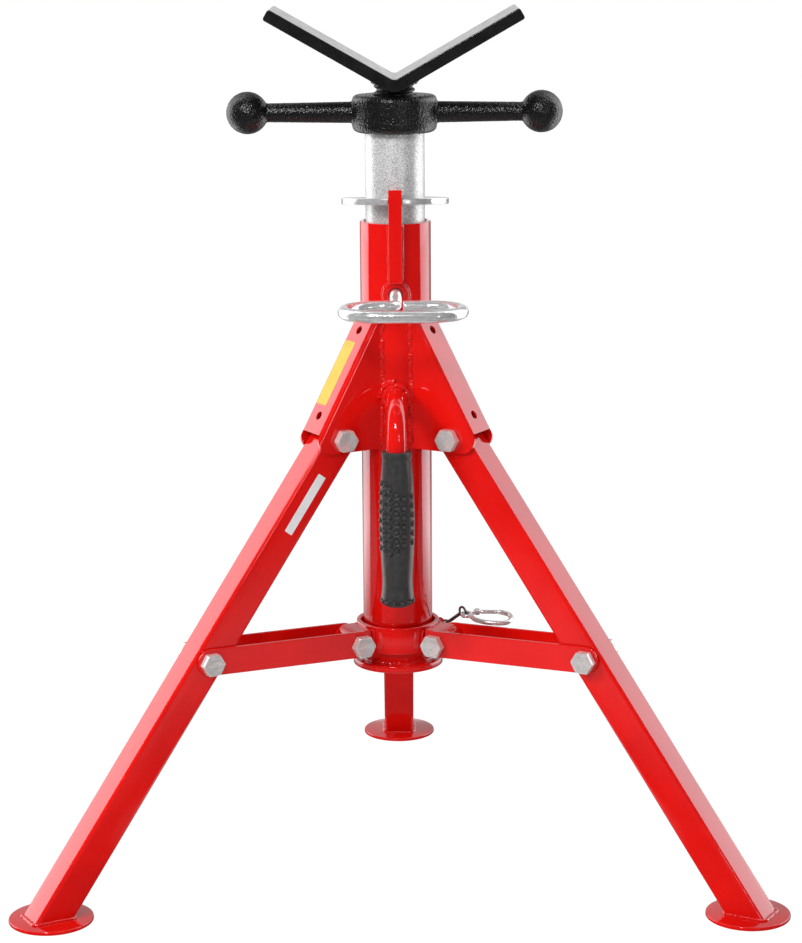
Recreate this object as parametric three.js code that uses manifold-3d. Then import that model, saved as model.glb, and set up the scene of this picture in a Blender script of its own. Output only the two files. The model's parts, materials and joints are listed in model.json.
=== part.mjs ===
// A folding pipe jack stand, in millimetres with +Z up. The origin is on the floor, at the middle of
// the box round the three feet, and the carry handle faces -Y.
import * as THREE from "three";
import { mergeVertices } from "three/addons/utils/BufferGeometryUtils.js";
import Module from "manifold-3d";

const wasm = await Module();
wasm.setup();

// Clearances
const seatGap = 0.3;
const overrun = 6;
const weldTolerance = 0.0001;

// Column and its flange ring
const columnRadius = 31.75;
const columnWall = 3.5;
const columnTop = 591;
const flangeBottom = 181.7;
const flangeThickness = 6.3;
const flangeWidth = 9.45;
const flangeRadius = columnRadius + flangeWidth;
const columnBottom = flangeBottom + flangeThickness + seatGap;

// Stop ring on the inner tube, and the guide bar that its notch follows
const ringLift = 14.6;
const ringThickness = 5.7;
const ringWidth = 21.4;
const ringTilt = THREE.MathUtils.degToRad(5.2);
const ringBottom = columnTop + ringLift;
const guideWidth = 12;
const guideDepth = 16.95;
const guidePast = 11.7;
const notchGap = 0.6;
const guideRoot = columnRadius + seatGap;
const guideReach = guideRoot + guideDepth;
const guideTop = ringBottom + ringThickness + guidePast;

// Locking pin, its boss and the row of holes
const pinDrop = 62.5;
const pinRadius = 5.5;
const pinHoleGap = 0.5;
const holePitch = 50;
const holeCount = 7;
const bossRadius = 11.8;
const bossProud = 2.75;
const pinTipGap = 1.5;
const loopDrop = 7.5;
const loopStand = 21.25;
const loopRadius = 28.5;
const loopLeft = 16.5;
const loopRight = 29.5;
const pinBend = 9;
const pinKnee = 2;
const pinEndSide = 6.5;
const pinHeight = columnTop - pinDrop;
const bossReach = columnRadius + bossProud;
const loopBack = columnRadius + loopStand;

// Inner tube
const tubeGap = 1.75;
const innerWall = 3.5;
const innerTail = 33.5;
const mastRise = 63.7;
const innerRadius = columnRadius - columnWall - tubeGap;
const innerBore = innerRadius - innerWall;
const innerBottom = pinHeight - (holeCount - 1) * holePitch - innerTail;
const innerTop = ringBottom + mastRise;
const ringRadius = innerRadius + ringWidth;

// Jack screw, handle nut and V head
const screwRadius = 18.2;
const screwDepth = 299.3;
const hubWidth = 11.1;
const hubHeight = 32.8;
const hubTopRound = 4.5;
const hubFootRound = 6;
const spigotLength = 12;
const armHeight = 17.4;
const armRootRadius = 9.6;
const armTipRadius = 8.1;
const ballReach = 130.2;
const ballRadius = 18.75;
const headGap = 5.6;
const headAngle = THREE.MathUtils.degToRad(29.65);
const headPlate = 10.5;
const headDepth = 96;
const headBendRadius = 6;
const headHalfSpan = 113.6;
const screwBottom = innerTop - screwDepth;
const hubRadius = innerRadius + hubWidth;

// Carry handle and its grip
const handleRadius = 9.45;
const handleStand = 38.25;
const handleBend = 36;
const handleDrop = 92.5;
const gripDrop = 40.8;
const gripLength = 141;
const gripRadius = 15.6;
const gripFloor = 4;
const handleReach = columnRadius + handleStand;
const handleRoot = pinHeight - handleDrop;
const gripTop = handleRoot - gripDrop;

// Legs and feet: each leg's line runs from its pivot to a point on the floor just outside its foot's middle
const legWidth = 30.5;
const legWall = 2.5;
const legCorner = 3.5;
const pivotStand = 32.75;
const pivotDrop = 190.5;
const pivotHeight = columnTop - pivotDrop;
const pivotReach = columnRadius + pivotStand;
const footCircle = 352;
const footInset = 5;
const footRadius = 37.1;
const footThickness = 3.5;
const legLean = Math.atan2(footCircle + footInset - pivotReach, pivotHeight);

// Sliding collar and its lugs
const collarGap = 2.45;
const collarWall = 3.8;
const collarLift = 10.6;
const collarHeight = 24.6;
const lugTopStep = 2.7;
const lugStand = 10.5;
const lugRise = 9.4;
const collarRadius = columnRadius + collarGap + collarWall;
const collarBottom = flangeBottom + flangeThickness + collarLift;
const lugReach = collarRadius + lugStand;
const lugHeight = collarBottom + lugRise;

// Struts
const strutOnLeg = 230.58;
const strutWall = 3;
const strutSideGap = 0.3;
const strutEndRadius = 12.2;
const strutRise = 1;
const strutWebStart = 20;
const strutWebLength = 58;
const strutReach = pivotReach + strutOnLeg * Math.sin(legLean);
const strutHeight = pivotHeight - strutOnLeg * Math.cos(legLean);

// Brackets, set out from the leg's pivot
const bracketWall = 3;
const bracketSideGap = 0.5;
const bracketRise = 105.5;
const bracketDrop = 11.5;
const bracketWebRise = 6.5;
const bracketWebReach = 27.3;
const bracketCorner = 12;
const bracketFold = 5.5;
const webHoleRadius = 4;
const webHoleRises = [94.5, 21];
const bracketTop = pivotHeight + bracketRise;
const bracketBottom = pivotHeight - bracketDrop;
const bracketLean = Math.atan2(pivotStand + bracketWebReach, bracketRise);

// Bolts
const boltRadius = 6;
const boltHoleGap = 0.3;
const boltHeadFlats = 18.5;
const boltHeadHeight = 7.5;
const nutHeight = 10;
const boltEndLength = 2.4;

// Tether and clip
const eyeAzimuth = THREE.MathUtils.degToRad(25);
const eyeRise = 14.9;
const eyeRadius = 5.3;
const eyeHoleRadius = 2.6;
const eyeThickness = 2.4;
const eyeReach = 4;
const linkWire = 1.1;
const linkLoop = 4.8;
const linkShift = 0.9;
const clipAside = 25.1;
const clipAhead = 28.8;
const clipStep = 7.40;
const clipYaw = THREE.MathUtils.degToRad(18.36);
const clipNod = THREE.MathUtils.degToRad(5.55);
const clipTilt = THREE.MathUtils.degToRad(14.2);
const clipThickness = 4.4;
const clipEyeRadius = 5.4;
const clipEyeThickness = 2.8;
const clipLength = 41.5;
const clipHalfWidth = 10.5;
const clipBar = 2.2;
const gateBar = 1.9;
const gateTongue = 1.6;
const gateKnuckle = 3;
const gatePinRadius = 0.9;
const gatePinGap = 0.2;
const gateNoseGap = 0.8;

// Facets round a full circle
const roundSides = 40;
const rodSides = 12;
const holeSides = 12;

// Colours and finishes
const redPaint = new THREE.MeshStandardMaterial({ color: 0xc8160f, roughness: 0.25, metalness: 0.1 });
const blackIron = new THREE.MeshStandardMaterial({ color: 0x17181a, roughness: 0.45, metalness: 0.3 });
const zincSteel = new THREE.MeshStandardMaterial({ color: 0xa9adb0, roughness: 0.4, metalness: 0.9 });
const brightZinc = new THREE.MeshStandardMaterial({ color: 0xc9ccce, roughness: 0.25, metalness: 1 });
const blackRubber = new THREE.MeshStandardMaterial({ color: 0x1d1d1e, roughness: 0.85, metalness: 0 });
const darkSteel = new THREE.MeshStandardMaterial({ color: 0x3a3b3d, roughness: 0.4, metalness: 0.8 });

// Solids: every helper takes and gives a plain geometry
function manifoldOf(geometry) {
  const bare = new THREE.BufferGeometry();
  bare.setAttribute("position", geometry.getAttribute("position").clone());
  bare.setIndex(geometry.index ? geometry.index.clone() : null);
  const welded = mergeVertices(bare, weldTolerance);
  const corners = welded.index.array;
  const faces = [];
  for (let i = 0; i < corners.length; i += 3) {
    const [a, b, c] = [corners[i], corners[i + 1], corners[i + 2]];
    if (a !== b && b !== c && c !== a) faces.push(a, b, c);
  }
  const vertProperties = new Float32Array(welded.attributes.position.array);
  return new wasm.Manifold(new wasm.Mesh({ numProp: 3, vertProperties, triVerts: new Uint32Array(faces) }));
}

function geometryOf(manifold) {
  const mesh = manifold.getMesh();
  const geometry = new THREE.BufferGeometry();
  geometry.setAttribute("position", new THREE.BufferAttribute(new Float32Array(mesh.vertProperties), 3));
  geometry.setIndex(new THREE.BufferAttribute(new Uint32Array(mesh.triVerts), 1));
  return geometry;
}

function join(...pieces) {
  return geometryOf(pieces.map(manifoldOf).reduce((whole, piece) => whole.add(piece)));
}

function cut(body, ...tools) {
  return geometryOf(tools.map(manifoldOf).reduce((rest, tool) => rest.subtract(tool), manifoldOf(body)));
}

function overlap(one, other) {
  return geometryOf(manifoldOf(one).intersect(manifoldOf(other)));
}

// A box between two corners
function block(low, high) {
  const size = high.clone().sub(low);
  const middle = high.clone().add(low).multiplyScalar(0.5);
  return new THREE.BoxGeometry(size.x, size.y, size.z).translate(middle.x, middle.y, middle.z);
}

// A round bar along one axis, from one end to the other
function bar(axis, radius, from, to, sides = holeSides) {
  const geometry = new THREE.CylinderGeometry(radius, radius, to - from, sides);
  geometry.translate(0, (from + to) / 2, 0);
  if (axis === "z") geometry.rotateX(Math.PI / 2);
  if (axis === "x") geometry.rotateZ(-Math.PI / 2);
  return geometry;
}

// A solid of revolution about Z from [radius, height] points, closed on itself or on the axis
function turned(points, sides = roundSides) {
  const profile = points.map(([radius, height]) => new THREE.Vector2(radius, height));
  return new THREE.LatheGeometry(profile, sides).rotateX(Math.PI / 2);
}

// A straight ring about Z
function ring(inner, outer, low, high, sides = roundSides) {
  const section = [[inner, low], [outer, low], [outer, high], [inner, high], [inner, low]];
  return turned(section, sides);
}

// An outline drawn in x and z, as thick as given and centred on y
function upright(outline, thickness, curveSegments = 6) {
  const geometry = new THREE.ExtrudeGeometry(outline, { depth: thickness, bevelEnabled: false, curveSegments });
  return geometry.translate(0, 0, -thickness / 2).rotateX(Math.PI / 2);
}

// An outline drawn in x and y, drawn up along z from low to high
function rising(outline, low, high, curveSegments = 3) {
  const geometry = new THREE.ExtrudeGeometry(outline, { depth: high - low, bevelEnabled: false, curveSegments });
  return geometry.translate(0, 0, low);
}

// A round rod along a curve
function rodAlong(curve, radius, steps, sides = rodSides) {
  const section = new THREE.Shape();
  for (let i = 0; i < sides; i++) {
    const turn = (2 * Math.PI * i) / sides;
    const [x, y] = [radius * Math.cos(turn), radius * Math.sin(turn)];
    if (i) section.lineTo(x, y);
    else section.moveTo(x, y);
  }
  return new THREE.ExtrudeGeometry(section, { steps, bevelEnabled: false, extrudePath: curve });
}

// Points on an arc in a plane given by two unit vectors
function arcPoints(centre, across, along, radius, from, to, count) {
  return Array.from({ length: count + 1 }, (_, i) => {
    const turn = from + ((to - from) * i) / count;
    const point = centre.clone().addScaledVector(across, radius * Math.cos(turn));
    return point.addScaledVector(along, radius * Math.sin(turn));
  });
}

// A rectangle with round corners, about the origin
function roundedBox(width, height, corner) {
  const [x, y] = [width / 2 - corner, height / 2 - corner];
  const outline = new THREE.Shape();
  outline.absarc(x, y, corner, 0, Math.PI / 2);
  outline.absarc(-x, y, corner, Math.PI / 2, Math.PI);
  outline.absarc(-x, -y, corner, Math.PI, 1.5 * Math.PI);
  outline.absarc(x, -y, corner, 1.5 * Math.PI, 2 * Math.PI);
  return outline;
}

const stand = new THREE.Group();

function place(parent, name, geometry, material) {
  const faceted = geometry.index ? geometry.toNonIndexed() : geometry;
  faceted.computeVertexNormals();
  const mesh = new THREE.Mesh(faceted, material);
  mesh.name = name;
  parent.add(mesh);
  return mesh;
}

// The box round the feet is centred a quarter of the foot circle behind the column's axis.
const assembly = new THREE.Group();
assembly.position.y = -footCircle / 4;
stand.add(assembly);

// Column, flange ring and inner tube
const pinBore = bar("y", pinRadius + pinHoleGap, -columnRadius - overrun, 0).translate(0, 0, pinHeight);
const columnBore = columnRadius - columnWall;
place(assembly, "column_tube", cut(ring(columnBore, columnRadius, columnBottom, columnTop), pinBore), redPaint);
const flange = ring(columnBore, flangeRadius, flangeBottom, flangeBottom + flangeThickness);
place(assembly, "bottom_flange", flange, redPaint);

const pinHoles = Array.from({ length: holeCount }, (_, i) => pinBore.clone().translate(0, 0, -i * holePitch));
place(assembly, "inner_tube", cut(ring(innerBore, innerRadius, innerBottom, innerTop), ...pinHoles), zincSteel);

// Guide bar up the column's front, from the top of the pin's boss
const guideHalf = guideWidth / 2;
const guideLow = new THREE.Vector3(-guideHalf, -guideReach, pinHeight + bossRadius + seatGap);
const guideHigh = new THREE.Vector3(guideHalf, -guideRoot, guideTop);
place(assembly, "guide_bar", block(guideLow, guideHigh), redPaint);

// Stop ring, tilted up towards the front, with its notch round the guide bar
const notchHalf = guideHalf + notchGap;
const notch = block(
  new THREE.Vector3(-notchHalf, -ringRadius - overrun, -ringRadius),
  new THREE.Vector3(notchHalf, notchGap - guideRoot, ringRadius),
);
const ringBlank = bar("z", ringRadius, -ringThickness / 2, ringThickness / 2, roundSides).rotateX(-ringTilt);
const ringBore = bar("z", innerRadius + seatGap, -ringRadius, ringRadius, roundSides);
const stopRing = cut(ringBlank, ringBore, notch).translate(0, 0, ringBottom + ringThickness / 2);
place(assembly, "stop_ring", stopRing, brightZinc);

// Round pad on the column round the pin's hole
const clearanceTop = Math.max(columnTop, bracketTop) + overrun;
const columnClearance = bar("z", columnRadius + seatGap, 0, clearanceTop, roundSides);
const bossBore = bar("y", pinRadius + pinHoleGap, -bossReach - overrun, 0).translate(0, 0, pinHeight);
const bossBlank = bar("y", bossRadius, -bossReach, 0, 2 * holeSides).translate(0, 0, pinHeight);
place(assembly, "pin_boss", cut(bossBlank, columnClearance, bossBore), redPaint);

// Locking pin: one rod, bent from its shaft into a long finger loop
function lockingPin() {
  const across = new THREE.Vector3(1, 0, 0);
  const inward = new THREE.Vector3(0, 1, 0);
  const loopHeight = pinHeight - loopDrop;
  const middle = -loopBack - loopRadius;
  const leftCentre = new THREE.Vector3(-loopLeft, middle, loopHeight);
  const rightCentre = new THREE.Vector3(loopRight, middle, loopHeight);
  const bendCentre = new THREE.Vector3(-pinBend, pinBend - loopBack, loopHeight);
  const points = [
    new THREE.Vector3(0, -screwRadius - pinTipGap, pinHeight),
    new THREE.Vector3(0, -bossReach, pinHeight),
    new THREE.Vector3(0, -bossReach - pinKnee, pinHeight),
    ...arcPoints(bendCentre, across, inward, pinBend, 0, -Math.PI / 2, 4),
    ...arcPoints(leftCentre, across, inward, loopRadius, Math.PI / 2, 1.5 * Math.PI, 8),
    ...arcPoints(rightCentre, across, inward, loopRadius, -Math.PI / 2, Math.PI / 2, 8),
    new THREE.Vector3(pinEndSide, -loopBack, loopHeight),
  ];
  return rodAlong(new THREE.CatmullRomCurve3(points, false, "centripetal"), pinRadius, 40, 10);
}
place(assembly, "locking_pin", lockingPin(), brightZinc);

// Handle nut: hub, hidden spigot, two tapered arms and their balls
const hubBottom = innerTop + seatGap;
const hubTop = hubBottom + hubHeight;
const nutBore = screwRadius + seatGap;
const spigotRadius = innerBore - seatGap;

function handleNut() {
  const corner = (centreRadius, height, round, from) =>
    [0, 0.5, 1].map((share) => {
      const turn = from + (share * Math.PI) / 2;
      return [centreRadius + round * Math.cos(turn), height + round * Math.sin(turn)];
    });
  const profile = [
    [nutBore, hubBottom - spigotLength],
    [spigotRadius, hubBottom - spigotLength],
    [spigotRadius, hubBottom],
    ...corner(hubRadius - hubFootRound, hubBottom + hubFootRound, hubFootRound, -Math.PI / 2),
    ...corner(hubRadius - hubTopRound, hubTop - hubTopRound, hubTopRound, 0),
    [nutBore, hubTop],
    [nutBore, hubBottom - spigotLength],
  ];
  const armStart = (nutBore + hubRadius) / 2;
  const armLength = ballReach - armStart;
  const pieces = [turned(profile)];
  for (const side of [-1, 1]) {
    const arm = new THREE.CylinderGeometry(armTipRadius, armRootRadius, armLength, holeSides);
    arm.translate(0, armStart + armLength / 2, 0).rotateZ((-side * Math.PI) / 2);
    const ball = new THREE.SphereGeometry(ballRadius, 16, 10).rotateX(Math.PI / 2);
    ball.translate(side * ballReach, 0, 0);
    pieces.push(arm.translate(0, 0, hubBottom + armHeight), ball.translate(0, 0, hubBottom + armHeight));
  }
  return join(...pieces);
}
place(assembly, "handle_nut", handleNut(), blackIron);

// V head: the height where its lower faces would meet, were they not bent round
const headOuterBend = headBendRadius + headPlate;
const headVertex = hubTop + headGap - headOuterBend * (1 / Math.cos(headAngle) - 1);

// The V's outline in x and z, thicker or lower than the plate when asked
function headOutline(lower, upper, underBend, overBend) {
  const slope = Math.tan(headAngle);
  const rise = 1 / Math.cos(headAngle);
  const outline = new THREE.Shape();
  const lowCentre = headVertex - lower * rise + underBend * rise;
  const highCentre = headVertex + upper * rise + overBend * rise;
  const tip = [headHalfSpan, headVertex + headHalfSpan * slope];
  const normal = [-Math.sin(headAngle), Math.cos(headAngle)];
  const corner = (side, offset) => [side * (tip[0] + normal[0] * offset), tip[1] + normal[1] * offset];
  outline.absarc(0, lowCentre, underBend, 1.5 * Math.PI - headAngle, 1.5 * Math.PI + headAngle);
  outline.lineTo(...corner(1, -lower));
  outline.lineTo(...corner(1, upper));
  outline.absarc(0, highCentre, overBend, 1.5 * Math.PI + headAngle, 1.5 * Math.PI - headAngle, true);
  outline.lineTo(...corner(-1, upper));
  outline.lineTo(...corner(-1, -lower));
  return outline;
}
place(
  assembly,
  "v_head",
  upright(headOutline(0, headPlate, headOuterBend, headBendRadius), headDepth),
  blackIron,
);

const screwTool = headOutline(seatGap, hubHeight, headOuterBend + seatGap, headBendRadius);
const screwBlank = bar("z", screwRadius, screwBottom, hubTop + hubHeight, 2 * holeSides);
place(assembly, "jack_screw", cut(screwBlank, upright(screwTool, headDepth)), zincSteel);

// Carry handle: a stub out of the column, a bend and the straight stretch inside the grip
const gripBottom = gripTop - gripLength;
const handleEnd = gripBottom + gripFloor + seatGap;

function carryHandle() {
  const outward = new THREE.Vector3(0, -1, 0);
  const up = new THREE.Vector3(0, 0, 1);
  const bendCentre = new THREE.Vector3(0, handleBend - handleReach, handleRoot - handleBend);
  const path = new THREE.CurvePath();
  const bend = arcPoints(bendCentre, outward, up, handleBend, Math.PI / 2, 0, 8);
  const curve = new THREE.CatmullRomCurve3(bend, false, "centripetal");
  path.add(new THREE.LineCurve3(new THREE.Vector3(0, 0, handleRoot), bend[0]));
  path.add(curve);
  path.add(new THREE.LineCurve3(bend[bend.length - 1], new THREE.Vector3(0, -handleReach, handleEnd)));
  return cut(rodAlong(path, handleRadius, 24), columnClearance);
}
place(assembly, "carry_handle", carryHandle(), redPaint);

// Grip profile from the top down, as shares of its length and of its radius
const gripShares = [
  [0, 0.846],
  [0.043, 0.846],
  [0.05, 0.833],
  [0.19, 0.923],
  [0.42, 1],
  [0.656, 0.949],
  [0.83, 0.859],
  [0.949, 0.936],
  [0.985, 0.9],
  [1, 0.75],
];
function handleGrip() {
  const outside = gripShares.map(([down, wide]) => [gripRadius * wide, gripTop - gripLength * down]);
  const bore = handleRadius + seatGap;
  const profile = [
    [0, gripBottom],
    ...outside.reverse(),
    [bore, gripTop],
    [bore, gripBottom + gripFloor],
    [0, gripBottom + gripFloor],
  ];
  return turned(profile, 24).translate(0, -handleReach, 0);
}
place(assembly, "handle_grip", handleGrip(), blackRubber);

// Bolts lie along y, across the plane of each leg
const boltHole = boltRadius + boltHoleGap;

function hexPrism(low, high) {
  const circumradius = boltHeadFlats / 2 / Math.cos(Math.PI / 6);
  return bar("y", circumradius, low, high, 6);
}

function hexBolt(seat, end) {
  return join(hexPrism(seat, seat + boltHeadHeight), bar("y", boltRadius, end, seat + boltHeadHeight / 2));
}

function hexNut(seat) {
  const hole = bar("y", boltHole, -seat - nutHeight - overrun, -seat + overrun);
  return cut(hexPrism(-seat - nutHeight, -seat), hole);
}

// One leg with everything that carries it, drawn with x outward from the column and y across
const bracketInside = legWidth / 2 + bracketSideGap;
const bracketOutside = bracketInside + bracketWall;
const strutInside = legWidth / 2 + strutSideGap;
const strutOutside = strutInside + strutWall;
const strutLength = Math.hypot(strutReach - lugReach, strutHeight - lugHeight);
const strutSlope = Math.atan2(strutHeight - lugHeight, strutReach - lugReach);

function crossHole(reach, height, radius = boltHole) {
  const half = bracketOutside + overrun;
  return bar("y", radius, -half, half).translate(reach, 0, height);
}

// A folded U plate: its walls follow an outline, and its web closes the outer side down to one height
function bracket() {
  const webStart = columnRadius + (bracketRise + bracketDrop) * Math.tan(bracketLean);
  const tangent = bracketCorner / Math.tan((Math.PI / 2 - bracketLean) / 2);
  const cornerX = webStart - tangent;
  const cornerZ = bracketBottom + bracketCorner;
  const outline = new THREE.Shape();
  outline.moveTo(0, bracketBottom);
  outline.lineTo(cornerX, bracketBottom);
  outline.absarc(cornerX, cornerZ, bracketCorner, -Math.PI / 2, bracketLean);
  outline.lineTo(columnRadius, bracketTop);
  outline.lineTo(0, bracketTop);
  const walls = upright(outline, 2 * bracketOutside);
  const run = 2 * (bracketRise + bracketDrop);
  const depth = 2 * footRadius + columnRadius;
  const outer = roundedBox(2 * depth, 2 * bracketOutside, bracketFold);
  const inner = roundedBox(2 * depth, 2 * bracketInside, bracketFold - bracketWall);
  const section = (shape, shift, stretch) => {
    const prism = rising(shape, -run - stretch, run + stretch).translate(-depth - shift, 0, 0);
    return prism.rotateY(-bracketLean).translate(columnRadius, 0, bracketTop);
  };
  const mouth = block(
    new THREE.Vector3(0, -bracketInside, bracketBottom - overrun),
    new THREE.Vector3(2 * webStart, bracketInside, pivotHeight + bracketWebRise),
  );
  const webHoles = webHoleRises.map((rise) => {
    const reach = columnRadius + (bracketRise - rise) * Math.tan(bracketLean);
    return bar("x", webHoleRadius, -2 * webHoleRadius, 2 * webHoleRadius)
      .rotateY(-bracketLean)
      .translate(reach, 0, pivotHeight + rise);
  });
  const folded = cut(overlap(walls, section(outer, 0, 0)), section(inner, bracketWall, overrun), mouth);
  return cut(folded, columnClearance, crossHole(pivotReach, pivotHeight), ...webHoles);
}

// A square tube, rounded about its pivot at the top and cut level with the floor
function legTube() {
  const half = legWidth / 2;
  const length = pivotHeight / Math.cos(legLean) + legWidth;
  const side = new THREE.Shape();
  side.moveTo(-half - seatGap, -length);
  side.lineTo(half + seatGap, -length);
  side.absarc(0, 0, half + seatGap / 2, 0, Math.PI);
  const outer = rising(roundedBox(legWidth, legWidth, legCorner), -length, half);
  const bore = roundedBox(legWidth - 2 * legWall, legWidth - 2 * legWall, legCorner - legWall);
  const square = cut(outer, rising(bore, -length - overrun, half + overrun));
  const leaned = overlap(square, upright(side, legWidth + overrun, 12)).rotateY(-legLean);
  leaned.translate(pivotReach, 0, pivotHeight);
  const floor = block(
    new THREE.Vector3(0, -legWidth, -length),
    new THREE.Vector3(2 * footCircle, legWidth, footThickness + seatGap),
  );
  return cut(leaned, floor, crossHole(pivotReach, pivotHeight), crossHole(strutReach, strutHeight));
}

function foot() {
  return bar("z", footRadius, 0, footThickness, 36).translate(footCircle, 0, 0);
}

// A channel open at the top, with round ends and a short web
function strut() {
  const outline = new THREE.Shape();
  outline.absarc(0, strutRise, strutEndRadius, Math.PI / 2, 1.5 * Math.PI);
  outline.absarc(strutLength, strutRise, strutEndRadius, -Math.PI / 2, Math.PI / 2);
  const bottom = strutRise - strutEndRadius;
  const hollow = block(
    new THREE.Vector3(-2 * strutEndRadius, -strutInside, -2 * strutEndRadius),
    new THREE.Vector3(strutLength + 2 * strutEndRadius, strutInside, 2 * strutEndRadius),
  );
  const web = block(
    new THREE.Vector3(strutWebStart, -strutInside - strutWall / 2, bottom),
    new THREE.Vector3(strutWebStart + strutWebLength, strutInside + strutWall / 2, bottom + strutWall),
  );
  const channel = join(cut(upright(outline, 2 * strutOutside), hollow), web);
  const drilled = cut(channel, crossHole(0, 0), crossHole(strutLength, 0));
  return drilled.rotateY(-strutSlope).translate(lugReach, 0, lugHeight);
}

// A solid block with a round nose
function collarLug() {
  const top = collarBottom + collarHeight - lugTopStep;
  const nose = (top - collarBottom) / 2;
  const root = collarRadius + seatGap;
  const outline = new THREE.Shape();
  outline.absarc(lugReach, collarBottom + nose, nose, -Math.PI / 2, Math.PI / 2);
  outline.lineTo(root, top);
  outline.lineTo(root, collarBottom);
  return cut(upright(outline, legWidth), crossHole(lugReach, lugHeight));
}

const rearAzimuth = Math.PI / 2;
const spokeStep = (2 * Math.PI) / 3;
const rightAzimuth = rearAzimuth - spokeStep;
const spokes = [
  { side: "left", azimuth: rearAzimuth + spokeStep, boltSide: 1 },
  { side: "right", azimuth: rightAzimuth, boltSide: -1 },
  { side: "rear", azimuth: rearAzimuth, boltSide: 1 },
];
const pivotSeat = bracketOutside + seatGap;
const strutSeat = strutOutside + seatGap;
const pivotEnd = pivotSeat + nutHeight + boltEndLength;
const strutEnd = strutSeat + nutHeight + boltEndLength;
for (const { side, azimuth, boltSide } of spokes) {
  const spoke = new THREE.Group();
  spoke.rotation.z = azimuth;
  assembly.add(spoke);
  place(spoke, side + "_bracket", bracket(), redPaint);
  place(spoke, side + "_leg", legTube(), redPaint);
  place(spoke, side + "_foot", foot(), redPaint);
  place(spoke, side + "_strut", strut(), redPaint);
  place(spoke, side + "_lug", collarLug(), redPaint);

  // A half turn about z puts the head on the other side of the leg.
  const turn = boltSide > 0 ? 0 : Math.PI;
  const bolted = (suffix, geometry, reach, height) =>
    place(spoke, side + suffix, geometry.rotateZ(turn).translate(reach, 0, height), zincSteel);
  bolted("_pivot_bolt", hexBolt(pivotSeat, -pivotEnd), pivotReach, pivotHeight);
  bolted("_pivot_nut", hexNut(pivotSeat), pivotReach, pivotHeight);
  bolted("_collar_bolt", hexBolt(strutSeat, -strutEnd), lugReach, lugHeight);
  bolted("_collar_nut", hexNut(strutSeat), lugReach, lugHeight);

  // The strut's outer bolt: head and nut end turn with the strut, the shank between them with the leg.
  const stubStart = legWidth / 2 + seatGap;
  const nutEnd = join(hexPrism(-strutSeat - nutHeight, -strutSeat), bar("y", boltRadius, -strutEnd, -stubStart));
  const shankHalf = legWidth / 2 - seatGap;
  bolted("_strut_bolt_head", hexBolt(strutSeat, stubStart), strutReach, strutHeight);
  bolted("_strut_bolt_nut", nutEnd, strutReach, strutHeight);
  bolted("_strut_bolt_shank", bar("y", boltRadius, -shankHalf, shankHalf), strutReach, strutHeight);
}

// Sliding collar
const collarBore = columnRadius + collarGap;
const collar = ring(collarBore, collarRadius, collarBottom, collarBottom + collarHeight);
place(assembly, "slider_collar", collar, redPaint);

// Tether: an eye welded to the collar, a wire link with a loop at each end, and a snap clip
const eyeCentre = collarRadius + eyeReach;
const eyeOut = new THREE.Vector3(Math.cos(eyeAzimuth), Math.sin(eyeAzimuth), 0);
const eyePlace = eyeOut.clone().multiplyScalar(eyeCentre).setZ(collarBottom + eyeRise);

function tetherEye() {
  const outline = new THREE.Shape();
  outline.moveTo(-eyeCentre / 2, -eyeRadius);
  outline.lineTo(0, -eyeRadius);
  outline.absarc(0, 0, eyeRadius, -Math.PI / 2, Math.PI / 2);
  outline.lineTo(-eyeCentre / 2, eyeRadius);
  const hole = bar("y", eyeHoleRadius, -eyeThickness, eyeThickness);
  const drilled = cut(upright(outline, eyeThickness), hole);
  const clearance = bar("z", collarRadius + seatGap, -collarHeight, collarHeight, roundSides);
  const trimmed = cut(drilled, clearance.translate(-eyeCentre, 0, 0)).rotateZ(eyeAzimuth);
  return trimmed.translate(eyePlace.x, eyePlace.y, eyePlace.z);
}
place(assembly, "tether_eye", tetherEye(), redPaint);

// The clip is turned out of the right strut's own slope, a step above the upper edge of its far wall.
const clip = new THREE.Group();
const rightward = new THREE.Vector3(Math.cos(rightAzimuth), Math.sin(rightAzimuth), 0);
const clipPlan = new THREE.Vector3(clipAside, -clipAhead, 0).add(eyePlace);
const strutLine = lugHeight + (clipPlan.dot(rightward) - lugReach) * Math.tan(strutSlope);
const strutEdge = strutLine + (strutRise + strutEndRadius) / Math.cos(strutSlope);
clip.position.copy(clipPlan).setZ(strutEdge + clipStep / Math.cos(strutSlope));
const onStrut = new THREE.Quaternion().setFromEuler(new THREE.Euler(clipTilt, clipNod, clipYaw, "ZYX"));
clip.quaternion.setFromEuler(new THREE.Euler(0, -strutSlope, rightAzimuth, "ZYX")).multiply(onStrut);
assembly.add(clip);

// One loop of the link lies level in the collar's eye, and the other crosses the clip's.
function tetherLink() {
  const first = eyePlace.clone().addScaledVector(eyeOut, linkShift + linkLoop);
  const clipNormal = new THREE.Vector3(0, 0, 1).applyQuaternion(clip.quaternion);
  const inPlane = clip.position.clone().sub(first).projectOnPlane(clipNormal).normalize();
  const last = clip.position.clone().addScaledVector(inPlane, -linkShift - linkLoop);
  const across = inPlane.clone().cross(clipNormal);
  const crossing = new THREE.Matrix4().makeBasis(inPlane, clipNormal, across).setPosition(last);
  const level = new THREE.TorusGeometry(linkLoop, linkWire, 8, 14);
  const toClip = last.clone().sub(first).normalize();
  const shankPath = new THREE.LineCurve3(
    first.clone().addScaledVector(toClip.clone().setZ(0).normalize(), linkLoop),
    last.clone().addScaledVector(toClip, -linkLoop),
  );
  return join(
    level.clone().applyMatrix4(crossing),
    level.translate(first.x, first.y, first.z),
    rodAlong(shankPath, linkWire, 1, 8),
  );
}
place(assembly, "tether_link", tetherLink(), darkSteel);

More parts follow.
